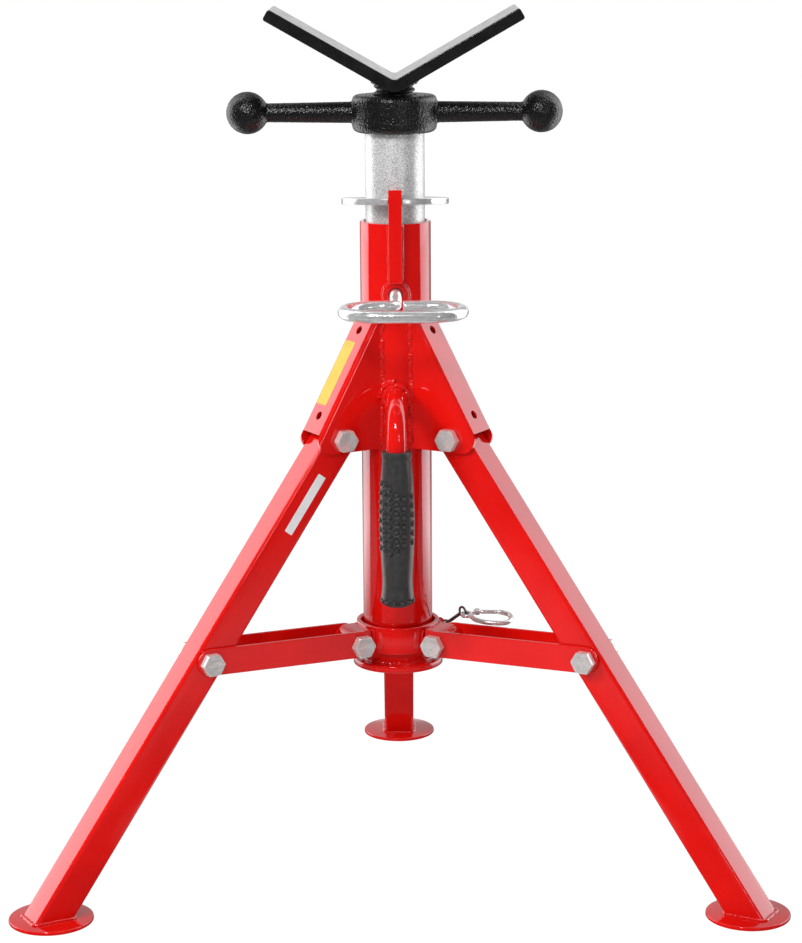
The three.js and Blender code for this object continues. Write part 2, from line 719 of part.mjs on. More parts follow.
// The clip's spine, as shares of its length and half width, from its eye round to its nose
const spineShares = [
  [0.1, -0.2],
  [0.22, -0.72],
  [0.42, -1],
  [0.7, -1],
  [0.92, -0.72],
  [1, 0],
  [0.92, 0.72],
  [0.76, 0.98],
  [0.68, 1],
];
const knuckleShare = [0.2, 0.66];
const clipPoint = ([along, across]) => new THREE.Vector3(along * clipLength, across * clipHalfWidth, 0);
const knuckle = clipPoint(knuckleShare);
const nose = clipPoint(spineShares[spineShares.length - 1]);
const gateLine = nose.clone().sub(knuckle).normalize();

// A flat disc in the clip's plane, centred on its thickness
function clipDisc(radius, thickness, centre) {
  return bar("z", radius, -thickness / 2, thickness / 2).translate(centre.x, centre.y, 0);
}

function clipBody() {
  const middle = new THREE.Vector3();
  const spine = new THREE.CatmullRomCurve3(spineShares.map(clipPoint), false, "centripetal");
  const arm = new THREE.LineCurve3(knuckle.clone().setLength(clipEyeRadius - clipBar), knuckle);
  const solid = join(
    clipDisc(clipEyeRadius, clipEyeThickness, middle),
    rodAlong(spine, clipBar, 22, 8),
    rodAlong(arm, clipBar, 1, 8),
    clipDisc(gateKnuckle, clipThickness, knuckle),
  );
  const slot = clipDisc(gateKnuckle + seatGap, gateTongue + 2 * seatGap, knuckle);
  const pinHole = clipDisc(gatePinRadius + gatePinGap, 2 * clipThickness, knuckle);
  return cut(solid, clipDisc(eyeHoleRadius, 2 * clipThickness, middle), slot, pinHole);
}
place(clip, "clip_body", clipBody(), brightZinc);

function clipGate() {
  const start = knuckle.clone().addScaledVector(gateLine, gateKnuckle + seatGap);
  const end = nose.clone().addScaledVector(gateLine, -gateNoseGap);
  const tongueEnd = start.clone().addScaledVector(gateLine, gateKnuckle);
  const tongue = new THREE.BoxGeometry(start.distanceTo(knuckle) + gateKnuckle, 2 * gateBar, gateTongue);
  const middle = knuckle.clone().add(tongueEnd).multiplyScalar(0.5);
  tongue.rotateZ(Math.atan2(gateLine.y, gateLine.x)).translate(middle.x, middle.y, 0);
  const solid = join(
    rodAlong(new THREE.LineCurve3(start, end), gateBar, 1, 8),
    tongue,
    clipDisc(gateKnuckle - seatGap, gateTongue, knuckle),
  );
  return cut(solid, clipDisc(gatePinRadius + gatePinGap, 2 * clipThickness, knuckle));
}
place(clip, "clip_gate", clipGate(), brightZinc);
place(clip, "clip_gate_pin", clipDisc(gatePinRadius, clipThickness, knuckle), brightZinc);

export default stand;
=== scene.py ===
"""A folding pipe jack stand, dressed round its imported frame.

Lengths are in millimetres from the column's axis at the floor. fit() turns them into the frame's metres.
"""
import json
import math

import bmesh
import bpy
from mathutils import Matrix, Vector, noise

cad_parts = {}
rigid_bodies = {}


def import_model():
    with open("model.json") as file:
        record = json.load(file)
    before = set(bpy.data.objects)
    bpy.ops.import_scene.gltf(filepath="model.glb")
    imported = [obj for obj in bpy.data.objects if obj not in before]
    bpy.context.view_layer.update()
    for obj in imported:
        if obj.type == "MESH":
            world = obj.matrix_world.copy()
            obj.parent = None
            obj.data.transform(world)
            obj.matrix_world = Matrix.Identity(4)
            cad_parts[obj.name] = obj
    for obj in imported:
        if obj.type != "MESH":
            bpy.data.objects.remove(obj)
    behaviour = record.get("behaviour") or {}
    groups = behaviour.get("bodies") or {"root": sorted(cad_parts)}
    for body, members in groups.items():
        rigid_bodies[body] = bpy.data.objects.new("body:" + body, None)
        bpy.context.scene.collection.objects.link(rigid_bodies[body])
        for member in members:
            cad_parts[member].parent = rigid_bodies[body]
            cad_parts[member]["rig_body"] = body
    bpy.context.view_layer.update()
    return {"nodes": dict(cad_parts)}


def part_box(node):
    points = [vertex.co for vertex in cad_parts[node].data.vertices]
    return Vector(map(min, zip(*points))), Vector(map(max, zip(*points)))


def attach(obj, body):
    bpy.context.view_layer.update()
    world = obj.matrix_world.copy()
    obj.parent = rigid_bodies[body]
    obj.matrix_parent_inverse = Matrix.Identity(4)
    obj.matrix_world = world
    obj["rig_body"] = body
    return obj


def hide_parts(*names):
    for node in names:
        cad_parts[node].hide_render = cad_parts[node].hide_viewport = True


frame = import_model()

# Unseeded, noise_vector would take its offsets from the clock
noise.seed_set(1)

MM = 0.001
low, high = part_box("column_tube")
AXIS = Matrix.Translation(((low.x + high.x) / 2, (low.y + high.y) / 2, 0)) @ Matrix.Scale(MM, 4)

# Camera: the focal length and the long side are in pixels of the picture
FOCAL, LONG_SIDE, SENSOR, FARTHEST = 2616.6, 943, 36, 100
PITCH, ROLL = 0.215, -0.0065
CAMERA = Vector((3.7, -2330.3, 870.2))


def add_camera():
    ahead = Vector((0, math.cos(PITCH), -math.sin(PITCH)))
    level, above = Vector((1, 0, 0)), Vector((0, math.sin(PITCH), math.cos(PITCH)))
    right = math.cos(ROLL) * level + math.sin(ROLL) * above
    up = math.cos(ROLL) * above - math.sin(ROLL) * level
    data = bpy.data.cameras.new("camera")
    data.sensor_width = SENSOR
    data.lens = FOCAL / LONG_SIDE * SENSOR
    data.clip_end = FARTHEST
    camera = bpy.data.objects.new("camera", data)
    bpy.context.scene.collection.objects.link(camera)
    facing = Matrix((right, up, -ahead)).transposed().to_4x4()
    camera.matrix_world = Matrix.Translation(AXIS @ CAMERA) @ facing
    bpy.context.scene.camera = camera


add_camera()


# Shapes: every helper gives a mesh in millimetres
SAME_POINT, NO_LENGTH = 1e-4, 1e-5


def skin(rows, closed=False, caps=True):
    """Quads between rings of points. The rings are joined end to end when closed."""
    made = bmesh.new()
    rings = [[made.verts.new(point) for point in row] for row in rows]
    count = len(rows[0])
    pairs = list(zip(rings, rings[1:]))
    if closed:
        pairs.append((rings[-1], rings[0]))
    for one, other in pairs:
        for i in range(count):
            j = (i + 1) % count
            made.faces.new((one[i], one[j], other[j], other[i]))
    if caps and not closed:
        made.faces.new(rings[0][::-1])
        made.faces.new(rings[-1])
    return finished(made)


def finished(made):
    bmesh.ops.remove_doubles(made, verts=made.verts, dist=SAME_POINT)
    bmesh.ops.dissolve_degenerate(made, edges=made.edges, dist=NO_LENGTH)
    bmesh.ops.recalc_face_normals(made, faces=made.faces)
    data = bpy.data.meshes.new("shape")
    made.to_mesh(data)
    made.free()
    return data


def fillet(corners, steps=6):
    """A closed outline of [x, y, radius] corners, with each corner rounded."""
    points = []
    for i, (x, y, radius) in enumerate(corners):
        here = Vector((x, y))
        if not radius:
            points.append((x, y))
            continue
        before = (Vector(corners[i - 1][:2]) - here).normalized()
        after = (Vector(corners[(i + 1) % len(corners)][:2]) - here).normalized()
        half = before.angle(after) / 2
        centre = here + (before + after).normalized() * radius / math.sin(half)
        start = here + before * radius / math.tan(half) - centre
        end = here + after * radius / math.tan(half) - centre
        first = math.atan2(start.y, start.x)
        turn = (math.atan2(end.y, end.x) - first + math.pi) % math.tau - math.pi
        for k in range(steps + 1):
            angle = first + turn * k / steps
            points.append((centre.x + radius * math.cos(angle), centre.y + radius * math.sin(angle)))
    return points


def turned(profile, sides=128, closed=True, axis="z"):
    """A solid of revolution from [radius, height] points."""
    rows = []
    for radius, height in profile:
        row = []
        for i in range(sides):
            turn = math.tau * i / sides
            a, b = radius * math.cos(turn), radius * math.sin(turn)
            row.append({"z": (a, b, height), "y": (a, height, b), "x": (height, a, b)}[axis])
        rows.append(row)
    return skin(rows, closed)


def ring(inner, outer, bottom, top, edge=0.6, sides=128):
    return turned(fillet([(inner, bottom, edge), (outer, bottom, edge), (outer, top, edge),
                          (inner, top, edge)], 3), sides)


def rod(axis, radius, start, end, sides=48):
    return turned([(radius, start), (radius, end)], sides, False, axis)


def prism(outline, start, end, plane="xy"):
    """An outline in one plane, drawn along the third axis."""
    if plane == "xy":
        return skin([[(x, y, depth) for x, y in outline] for depth in (start, end)])
    return skin([[(x, depth, z) for x, z in outline] for depth in (start, end)])


def box(start, end):
    outline = [(start[0], start[1]), (end[0], start[1]), (end[0], end[1]), (start[0], end[1])]
    return prism(outline, start[2], end[2])


def moved(shape, *steps):
    for step in steps:
        shape.transform(step)
    return shape


def shift(x, y, z):
    return Matrix.Translation((x, y, z))


def spin(angle, axis):
    return Matrix.Rotation(angle, 4, axis)


def evaluated(shape, add_modifiers):
    holder = bpy.data.objects.new("holder", shape)
    bpy.context.scene.collection.objects.link(holder)
    add_modifiers(holder)
    graph = bpy.context.evaluated_depsgraph_get()
    result = bpy.data.meshes.new_from_object(holder.evaluated_get(graph))
    bpy.data.objects.remove(holder)
    return result


def combine(shape, tools, operation="DIFFERENCE"):
    helpers = []
    for tool in tools:
        helper = bpy.data.objects.new("tool", tool)
        bpy.context.scene.collection.objects.link(helper)
        helpers.append(helper)

    def add(holder):
        for helper in helpers:
            modifier = holder.modifiers.new("combine", "BOOLEAN")
            modifier.operation, modifier.object, modifier.solver = operation, helper, "EXACT"

    result = evaluated(shape, add)
    for helper in helpers:
        bpy.data.objects.remove(helper)
    return result


def cut(shape, *tools):
    return combine(shape, tools)


def overlap(shape, *tools):
    return combine(shape, tools, "INTERSECT")


def joined(*shapes):
    """Several closed shapes in one mesh, left as they are."""
    made = bmesh.new()
    for shape in shapes:
        made.from_mesh(shape)
    data = bpy.data.meshes.new("joined")
    made.to_mesh(data)
    made.free()
    return data


def tube(path, radius, sides=24, closed=False, flat=None):
    """A round rod along points. radius is a length or one length for each point."""
    points = [Vector(point) for point in path]
    count = len(points)
    sizes = radius if isinstance(radius, (list, tuple)) else [radius] * count
    rows, side = [], None
    for i, point in enumerate(points):
        before = points[i - 1] if i or closed else point
        after = points[(i + 1) % count] if i + 1 < count or closed else point
        along = (after - before).normalized()
        if side is None:
            side = along.orthogonal().normalized() if flat is None else Vector(flat)
        side = (side - along * side.dot(along)).normalized()
        other = along.cross(side)
        rows.append([point + sizes[i] * (side * math.cos(math.tau * k / sides)
                                         + other * math.sin(math.tau * k / sides)) for k in range(sides)])
    return skin(rows, closed)


def catmull(points, steps=8):
    """A centripetal curve through the points."""
    points = [Vector(point) for point in points]
    ends = [2 * points[0] - points[1], *points, 2 * points[-1] - points[-2]]
    made = []
    for i in range(len(points) - 1):
        a, b, c, d = ends[i:i + 4]
        t = [0]
        for one, other in ((a, b), (b, c), (c, d)):
            t.append(t[-1] + max((other - one).length, 1e-6) ** 0.5)
        for k in range(steps):
            s = t[1] + (t[2] - t[1]) * k / steps
            p = [one.lerp(other, (s - t[n]) / (t[n + 1] - t[n])) for n, (one, other) in
                 enumerate(((a, b), (b, c), (c, d)))]
            q = [p[n].lerp(p[n + 1], (s - t[n]) / (t[n + 2] - t[n])) for n in (0, 1)]
            made.append(q[0].lerp(q[1], (s - t[1]) / (t[2] - t[1])))
    return [*made, points[-1]]


def roughen(shape, layers):
    """Moves each point along its normal by a sum of noises, each given as [height, scale]."""
    normals = [vertex.normal.copy() for vertex in shape.vertices]
    for vertex, normal in zip(shape.vertices, normals):
        vertex.co += normal * sum(height * noise.noise(vertex.co * scale) for height, scale in layers)
    return shape


def bead(path, radius, closed=False, seed=0.0):
    """A weld bead: a rod with an uneven width and small ripples."""
    rough, sizes = [], []
    for i, point in enumerate(path):
        spot = Vector(point) * 0.35 + Vector((seed, seed, seed))
        rough.append(Vector(point) + 0.3 * radius * noise.noise_vector(spot))
        ripple = 0.05 * math.sin(i * 1.9)
        sizes.append(radius * (1 + 0.3 * noise.noise(spot * 1.4) + ripple))
    return roughen(tube(rough, sizes, 20, closed), ((0.22 * radius, 1.1), (0.1, 2.6)))


def straight(start, end, step=0.8):
    start, end = Vector(start), Vector(end)
    count = max(2, int((end - start).length / step))
    return [start.lerp(end, i / count) for i in range(count + 1)]


def half_circle(x, y, radius, start, steps=24):
    """Points through half a turn round a centre, from the angle start on."""
    turns = [start + math.pi * i / steps for i in range(steps + 1)]
    return [(x + radius * math.cos(turn), y + radius * math.sin(turn)) for turn in turns]


# Materials: the sockets of a Mix node that is set to colours
MIX_FIRST, MIX_SECOND, MIX_RESULT = 6, 7, 2


def node(tree, kind, **values):
    made = tree.nodes.new(kind)
    for name, value in values.items():
        if name in made.inputs:
            made.inputs[name].default_value = value
        else:
            setattr(made, name, value)
    return made


def noise_of(tree, place, scale, detail=3.0):
    made = node(tree, "ShaderNodeTexNoise", Scale=scale, Detail=detail)
    tree.links.new(place, made.inputs["Vector"])
    return made.outputs["Fac"]


def mapped(tree, value, start, end, low=0.3, high=0.7):
    made = node(tree, "ShaderNodeMapRange")
    made.inputs["From Min"].default_value, made.inputs["From Max"].default_value = low, high
    made.inputs["To Min"].default_value, made.inputs["To Max"].default_value = start, end
    tree.links.new(value, made.inputs["Value"])
    return made.outputs["Result"]


def surface(name, dark, light, roughness, mottle, bumps, metallic=0.0, coat=0.0, coat_roughness=0.1,
            specular=0.5, tint=(1, 1, 1)):
    """A finish: two colours mixed by a noise of one scale, a roughness range and layers of bump.

    mottle is [scale, detail, contrast], roughness is [lowest, highest, scale], and each bump is
    [scale, height in mm].
    """
    material = bpy.data.materials.new(name)
    material.use_nodes = True
    tree = material.node_tree
    shader = tree.nodes["Principled BSDF"]
    place = node(tree, "ShaderNodeTexCoord").outputs["Object"]
    mix = node(tree, "ShaderNodeMix", data_type="RGBA")
    mix.inputs[MIX_FIRST].default_value = (*dark, 1)
    mix.inputs[MIX_SECOND].default_value = (*light, 1)
    spread = 0.2 / mottle[2]
    blend = mapped(tree, noise_of(tree, place, mottle[0], mottle[1]), 0, 1, 0.5 - spread, 0.5 + spread)
    tree.links.new(blend, mix.inputs[0])
    tree.links.new(mix.outputs[MIX_RESULT], shader.inputs["Base Color"])
    worn = noise_of(tree, place, roughness[2])
    tree.links.new(mapped(tree, worn, roughness[0], roughness[1]), shader.inputs["Roughness"])
    shader.inputs["Metallic"].default_value = metallic
    shader.inputs["Coat Weight"].default_value = coat
    shader.inputs["Coat Roughness"].default_value = coat_roughness
    shader.inputs["Specular IOR Level"].default_value = specular
    shader.inputs["Specular Tint"].default_value = (*tint, 1)
    normal = None
    for scale, height in bumps:
        bump = node(tree, "ShaderNodeBump", Strength=1.0, Distance=height * MM)
        tree.links.new(noise_of(tree, place, scale, 2.0), bump.inputs["Height"])
        if normal is not None:
            tree.links.new(normal, bump.inputs["Normal"])
        normal = bump.outputs["Normal"]
    tree.links.new(normal, shader.inputs["Normal"])
    return material


FINISHES = {
    "red_powder_coat": surface(
        "red powder coat", (0.64, 0.0045, 0.003), (0.76, 0.007, 0.004), (0.07, 0.12, 60), (14, 2, 1),
        [(420, 0.008), (90, 0.02)], coat=0.8, coat_roughness=0.05, tint=(0.75, 0.8, 1)),
    "black_cast_iron": surface(
        "black cast iron", (0.003, 0.003, 0.0035), (0.009, 0.009, 0.010), (0.20, 0.30, 900), (500, 3, 1),
        [(400, 0.85), (1000, 0.16)], specular=0.75),
    "black_paint": surface(
        "black paint", (0.006, 0.006, 0.007), (0.010, 0.010, 0.011), (0.18, 0.28, 120), (90, 3, 1),
        [(700, 0.02), (130, 0.03)], coat=0.35, coat_roughness=0.15),
    "zinc_tube": surface(
        "speckled zinc", (0.46, 0.46, 0.465), (0.95, 0.95, 0.955), (0.30, 0.44, 900), (1200, 1, 1.8),
        [(1200, 0.10)], metallic=0.45),
    "screw_steel": surface(
        "dark screw steel", (0.012, 0.012, 0.013), (0.05, 0.05, 0.052), (0.28, 0.45, 300), (200, 4, 1),
        [(900, 0.03)], metallic=0.5),
    "bright_zinc": surface(
        "bright zinc", (0.70, 0.71, 0.72), (0.93, 0.93, 0.94), (0.12, 0.24, 220), (260, 4, 1),
        [(150, 0.35), (520, 0.14), (1100, 0.05)], metallic=0.66),
    "bolt_steel": surface(
        "bolt steel", (0.70, 0.66, 0.65), (0.92, 0.89, 0.88), (0.15, 0.26, 400), (700, 2, 1.0),
        [(700, 0.02)], metallic=0.5),
    "grip_rubber": surface(
        "grip rubber", (0.028, 0.028, 0.028), (0.042, 0.042, 0.042), (0.30, 0.40, 300), (200, 3, 1),
        [(1800, 0.03), (260, 0.03)]),
    "dark_steel": surface(
        "dark steel", (0.10, 0.10, 0.10), (0.22, 0.22, 0.22), (0.28, 0.42, 300), (200, 3, 1),
        [(900, 0.02)], metallic=0.9),
    "label_yellow": surface(
        "yellow label", (0.62, 0.44, 0.05), (0.68, 0.49, 0.06), (0.38, 0.48, 90), (60, 2, 1),
        [(900, 0.01)]),
    "label_white": surface(
        "white label", (0.74, 0.74, 0.75), (0.82, 0.82, 0.83), (0.38, 0.48, 90), (60, 2, 1),
        [(900, 0.01)]),
}


# Pieces
def fit(name, shape, body, slot, nodes=(), place=None, edge=0.0, crease=34, steps=2):
    """Puts a shape into the frame as one piece that rides on a body."""
    shape.transform(AXIS @ (place or Matrix.Identity(4)))
    shape.shade_smooth()
    shape.set_sharp_from_angle(angle=math.radians(crease))
    shape.materials.clear()
    shape.materials.append(FINISHES[slot])
    piece = bpy.data.objects.new(name, shape)
    bpy.context.scene.collection.objects.link(piece)
    if edge:
        bevel = piece.modifiers.new("edges", "BEVEL")
        bevel.width, bevel.segments, bevel.harden_normals = edge * MM, steps, True
        bevel.limit_method, bevel.angle_limit = "ANGLE", math.radians(crease)
    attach(piece, body)
    if nodes:
        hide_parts(*nodes)


def stands_for(node_name, shape, slot, place=None, edge=0.0, **more):
    """A piece that takes one CAD node's place, on that node's own body."""
    body = frame["nodes"][node_name]["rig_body"]
    fit(node_name + "_fine", shape, body, slot, (node_name,), place, edge, **more)


# How far a cutting shape runs past what it cuts
PAST = 6

# Column, flange ring and inner tube
COLUMN, WALL, COLUMN_TOP, COLUMN_FOOT = 31.75, 3.5, 591.0, 188.3
PIN_HEIGHT, PIN, PIN_HOLE = 528.5, 5.5, 6.0
FLANGE, FLANGE_FOOT, FLANGE_THICK = 41.2, 181.7, 6.3
INNER, INNER_BORE, INNER_FOOT, INNER_TOP = 26.5, 23.0, 195.0, 669.3
HOLE_PITCH, HOLES, HOLE_EDGE = 50.0, 7, 9
RING_FOOT, RING_THICK, RING, RING_TILT = 605.6, 5.7, 47.9, math.radians(5.2)


def tube_profile(bore, outer, bottom, top, stops, edge=0.5):
    """A tube's section with extra rings at some heights, so that a hole cuts short faces."""
    corners = [(bore, bottom, edge), (outer, bottom, edge)]
    corners += [(outer, stop, 0) for stop in stops]
    corners += [(outer, top, edge), (bore, top, edge)]
    corners += [(bore, stop, 0) for stop in reversed(stops)]
    return fillet(corners, 3)


def front_hole(height):
    return moved(rod("y", PIN_HOLE, -COLUMN - PAST, 0), shift(0, 0, height))


around_pin = [PIN_HEIGHT - HOLE_EDGE, PIN_HEIGHT + HOLE_EDGE]
column = turned(tube_profile(COLUMN - WALL, COLUMN, COLUMN_FOOT, COLUMN_TOP, around_pin), 144)
stands_for("column_tube", cut(column, front_hole(PIN_HEIGHT)), "red_powder_coat")

stands_for("bottom_flange", ring(COLUMN - WALL, FLANGE, FLANGE_FOOT, FLANGE_FOOT + FLANGE_THICK, 1.0),
           "red_powder_coat")

hole_heights = [PIN_HEIGHT - HOLE_PITCH * i for i in range(HOLES)]
stops = sorted(height + side for height in hole_heights for side in (-HOLE_EDGE, HOLE_EDGE))
inner = turned(tube_profile(INNER_BORE, INNER, INNER_FOOT, INNER_TOP, stops), 128)
stands_for("inner_tube", cut(inner, *[front_hole(height) for height in hole_heights]), "zinc_tube")


# Stop ring with its notch, guide bar, pin boss
NOTCH_HALF, NOTCH_ROOT = 6.6, 31.45
BAR_HALF, BAR_BACK, BAR_FRONT, BAR_FOOT, BAR_TOP = 6, 31.4, 49.0, 540.6, 623.0
BOSS, BOSS_BACK, BOSS_FRONT = 11.8, 31.0, 34.5
AXIS_GAP = 0.02


def plate(radius, bottom, top, low_edge, high_edge, steps, sides):
    """A round plate with its edges rounded. A tiny gap at its axis keeps the faces there whole."""
    return turned(fillet([(AXIS_GAP, bottom, 0), (radius, bottom, low_edge), (radius, top, high_edge),
                          (AXIS_GAP, top, 0)], steps), sides)


def stop_ring():
    half = RING_THICK / 2
    blank = plate(RING, -half, half, 0.9, 0.9, 3, 144)
    bore = rod("z", INNER + 0.1, -RING, RING, 128)
    notch = box((-NOTCH_HALF, -RING - PAST, -RING), (NOTCH_HALF, -NOTCH_ROOT, RING))
    return moved(cut(moved(blank, spin(-RING_TILT, "X")), bore, notch), shift(0, 0, RING_FOOT + half))


stands_for("stop_ring", stop_ring(), "bright_zinc")
stands_for("guide_bar", box((-BAR_HALF, -BAR_FRONT, BAR_FOOT), (BAR_HALF, -BAR_BACK, BAR_TOP)),
           "red_powder_coat", edge=0.7)
boss = turned(fillet([(PIN_HOLE, -BOSS_BACK, 0), (BOSS, -BOSS_BACK, 0), (BOSS, -BOSS_FRONT, 1.0),
                      (PIN_HOLE, -BOSS_FRONT, 0.6)], 4), 64, True, "y")
stands_for("pin_boss", moved(boss, shift(0, 0, PIN_HEIGHT)), "red_powder_coat")


# Locking pin: a rod bent from its shaft into a long finger loop
PIN_DEEP, PIN_KNEE = 19.7, 2.0
LOOP_DROP, LOOP_BACK, LOOP, LOOP_BEND, LOOP_LEFT, LOOP_RIGHT, LOOP_END = 7.5, 53.0, 28.5, 9.0, 16.5, 29.5, 6.5


def arc(centre, across, along, radius, start, end, count):
    return [Vector(centre) + radius * (Vector(across) * math.cos(start + (end - start) * i / count)
                                       + Vector(along) * math.sin(start + (end - start) * i / count))
            for i in range(count + 1)]


def locking_pin():
    across, inward = (1, 0, 0), (0, 1, 0)
    height, front = PIN_HEIGHT - LOOP_DROP, -LOOP_BACK - LOOP
    corner = (-LOOP_BEND, LOOP_BEND - LOOP_BACK, height)
    points = [(0, -PIN_DEEP, PIN_HEIGHT), (0, -BOSS_FRONT, PIN_HEIGHT),
              (0, -BOSS_FRONT - PIN_KNEE, PIN_HEIGHT),
              *arc(corner, across, inward, LOOP_BEND, 0, -math.pi / 2, 4),
              *arc((-LOOP_LEFT, front, height), across, inward, LOOP, math.pi / 2, 1.5 * math.pi, 8),
              *arc((LOOP_RIGHT, front, height), across, inward, LOOP, -math.pi / 2, math.pi / 2, 8),
              (LOOP_END, -LOOP_BACK, height)]
    path = catmull(points, 7)
    lead = [path[0] - Vector((0, 0.1 * i, 0)) for i in range(1, 4)]
    path = [path[0], *lead, *path[1:]]
    path[-1:] = [path[-1] + Vector((0.9, 0, 0)), path[-1] + Vector((0.3, 0, 0)), path[-1]]
    sizes = [PIN] * len(path)
    sizes[:4] = [PIN - 0.9, PIN - 0.5, PIN - 0.2, PIN - 0.05]
    sizes[-2:] = [PIN - 0.4, PIN - 1.2]
    return tube(path, sizes, 32)


stands_for("locking_pin", locking_pin(), "bright_zinc", crease=50)

# Handle nut: hub, tapered arms and balls, run together as one casting
HUB_FOOT, HUB_HIGH, HUB = 669.6, 32.8, 37.6
HUB_TOP = HUB_FOOT + HUB_HIGH
SCREW, SCREW_FOOT, SCREW_PAST, SCREW_LAP = 18.2, 370.0, 40, 1.5
ARM_HEIGHT, ARM_START, ARM_ROOT, ARM_TIP = 17.4, 28.0, 9.6, 8.1
BALL_REACH, BALL, BALL_STEPS = 130.2, 18.75, 32
VOXEL, SKIN = 0.75, ((0.16, 0.55), (0.10, 1.1))


def handle_nut():
    bore = SCREW + 0.4
    corners = [(bore, HUB_FOOT, 0.5), (HUB, HUB_FOOT, 6), (HUB, HUB_TOP, 4.5), (bore, HUB_TOP, 1.2)]
    parts = [turned(fillet(corners, 8), 128)]
    turns = [math.pi * i / BALL_STEPS for i in range(BALL_STEPS + 1)]
    half_ball = [(max(BALL * math.sin(turn), 0.05), BALL_REACH - BALL * math.cos(turn)) for turn in turns]
    for side in (-1, 1):
        arm = turned([(ARM_ROOT, ARM_START), (ARM_TIP, BALL_REACH)], 64, False, "x")
        ball = turned(half_ball, 64, False, "x")
        turn = spin(0 if side > 0 else math.pi, "Z")
        parts += [moved(shape, turn, shift(0, 0, HUB_FOOT + ARM_HEIGHT)) for shape in (arm, ball)]

    def cast(holder):
        blend = holder.modifiers.new("cast", "REMESH")
        blend.mode, blend.voxel_size = "VOXEL", VOXEL
        soften = holder.modifiers.new("soften", "SMOOTH")
        soften.factor, soften.iterations = 0.5, 5

    return roughen(evaluated(joined(*parts), cast), SKIN)


stands_for("handle_nut", handle_nut(), "black_cast_iron", crease=80)

# V head and jack screw
HEAD_ANGLE, HEAD_PLATE, HEAD_DEPTH, HEAD_BEND, HALF_SPAN = math.radians(29.65), 10.5, 96.0, 6.0, 113.6
HEAD_GAP, HEAD_LOW_EDGE, HEAD_HIGH_EDGE = 5.6, 2.2, 2.6
HEAD_WELD, HEAD_WELD_REACH, HEAD_WELD_LAP = 2.6, 18.6, 1.0
HEAD_VERTEX = HUB_TOP + HEAD_GAP - (HEAD_BEND + HEAD_PLATE) * (1 / math.cos(HEAD_ANGLE) - 1)


def under_head(x):
    """The height of the V's lower faces over the point x."""
    bend = HEAD_BEND + HEAD_PLATE
    reach = bend * math.sin(HEAD_ANGLE)
    if abs(x) >= reach:
        return HEAD_VERTEX + abs(x) * math.tan(HEAD_ANGLE)
    return HEAD_VERTEX + bend / math.cos(HEAD_ANGLE) - math.sqrt(bend * bend - x * x)


def v_head():
    normal = (math.sin(HEAD_ANGLE) * HEAD_PLATE, math.cos(HEAD_ANGLE) * HEAD_PLATE)
    tip = HEAD_VERTEX + HALF_SPAN * math.tan(HEAD_ANGLE)
    outline = fillet([
        (0, HEAD_VERTEX, HEAD_BEND + HEAD_PLATE),
        (HALF_SPAN, tip, HEAD_LOW_EDGE),
        (HALF_SPAN - normal[0], tip + normal[1], HEAD_HIGH_EDGE),
        (0, HEAD_VERTEX + HEAD_PLATE / math.cos(HEAD_ANGLE), HEAD_BEND),
        (normal[0] - HALF_SPAN, tip + normal[1], HEAD_HIGH_EDGE),
        (-HALF_SPAN, tip, HEAD_LOW_EDGE),
    ], 12)
    return prism(outline, -HEAD_DEPTH / 2, HEAD_DEPTH / 2, "xz")


stands_for("v_head", v_head(), "black_paint", edge=0.8, steps=3)


def jack_screw(sides=64, pitch=6.0, depth=2.4, rows_each=8):
    """A trapezoidal thread whose top follows the underside of the V.

    share holds how deep each row of one turn lies, in shares of the thread's depth.
    """
    share = [0, 0, 0, 0.5, 1, 1, 1, 0.5]
    rows = []
    top = HUB_TOP + SCREW_PAST
    for j in range(int((top - SCREW_FOOT) / pitch * rows_each) + 2 * rows_each):
        row = []
        for i in range(sides):
            turn = math.tau * i / sides
            radius = SCREW - depth * share[j % rows_each]
            x, y = radius * math.cos(turn), radius * math.sin(turn)
            z = SCREW_FOOT + pitch * (j / rows_each - 1 + i / sides)
            row.append((x, y, min(max(z, SCREW_FOOT), under_head(x) + SCREW_LAP)))
        rows.append(row)
    made = bmesh.new()
    rings = [[made.verts.new(point) for point in row] for row in rows]
    for j in range(len(rows) - 1):
        lower, upper = rings[j], rings[j + 1]
        for i in range(sides - 1):
            made.faces.new((lower[i], lower[i + 1], upper[i + 1], upper[i]))
        if j + rows_each + 1 < len(rows):
            made.faces.new((lower[-1], rings[j + rows_each][0], rings[j + rows_each + 1][0], upper[-1]))
    return finished(made)


stands_for("jack_screw", jack_screw(), "screw_steel", crease=40)
head_weld = []
for i in range(90):
    x, y = HEAD_WELD_REACH * math.cos(math.tau * i / 90), HEAD_WELD_REACH * math.sin(math.tau * i / 90)
    head_weld.append((x, y, under_head(x) - HEAD_WELD_LAP))
fit("v_head_weld", bead(head_weld, HEAD_WELD, True), "screw_head", "black_paint")

# Carry handle and its grip. A share of the grip is [down its length, of its radius]
HANDLE, HANDLE_REACH, HANDLE_BEND, HANDLE_ROOT = 9.45, 70.0, 36.0, 436.0
GRIP_TOP, GRIP_LONG, GRIP = 395.2, 141.0, 15.6
GRIP_SHARES = [(0, 0.80), (0.006, 0.846), (0.038, 0.852), (0.046, 0.815), (0.062, 0.828), (0.19, 0.923),
               (0.30, 0.972), (0.42, 1), (0.53, 0.99), (0.656, 0.949), (0.76, 0.884), (0.83, 0.859),
               (0.89, 0.882), (0.945, 0.938), (0.968, 0.92), (0.987, 0.83), (1, 0.60)]
BUMP_ROWS = [(-75, 367, 308), (-47.5, 367, 308), (-25.6, 363, 303), (-2, 358, 307), (24, 354, 311),
             (62, 356, 314)]
BUMP_PITCH, BUMP, BUMP_PROUD = 8.4, 2.2, 1.35
FOOT_BUMPS, FOOT_BUMP_HEIGHT = [-99, -70, -41, -12, 17, 46, 74, 103], 258.8
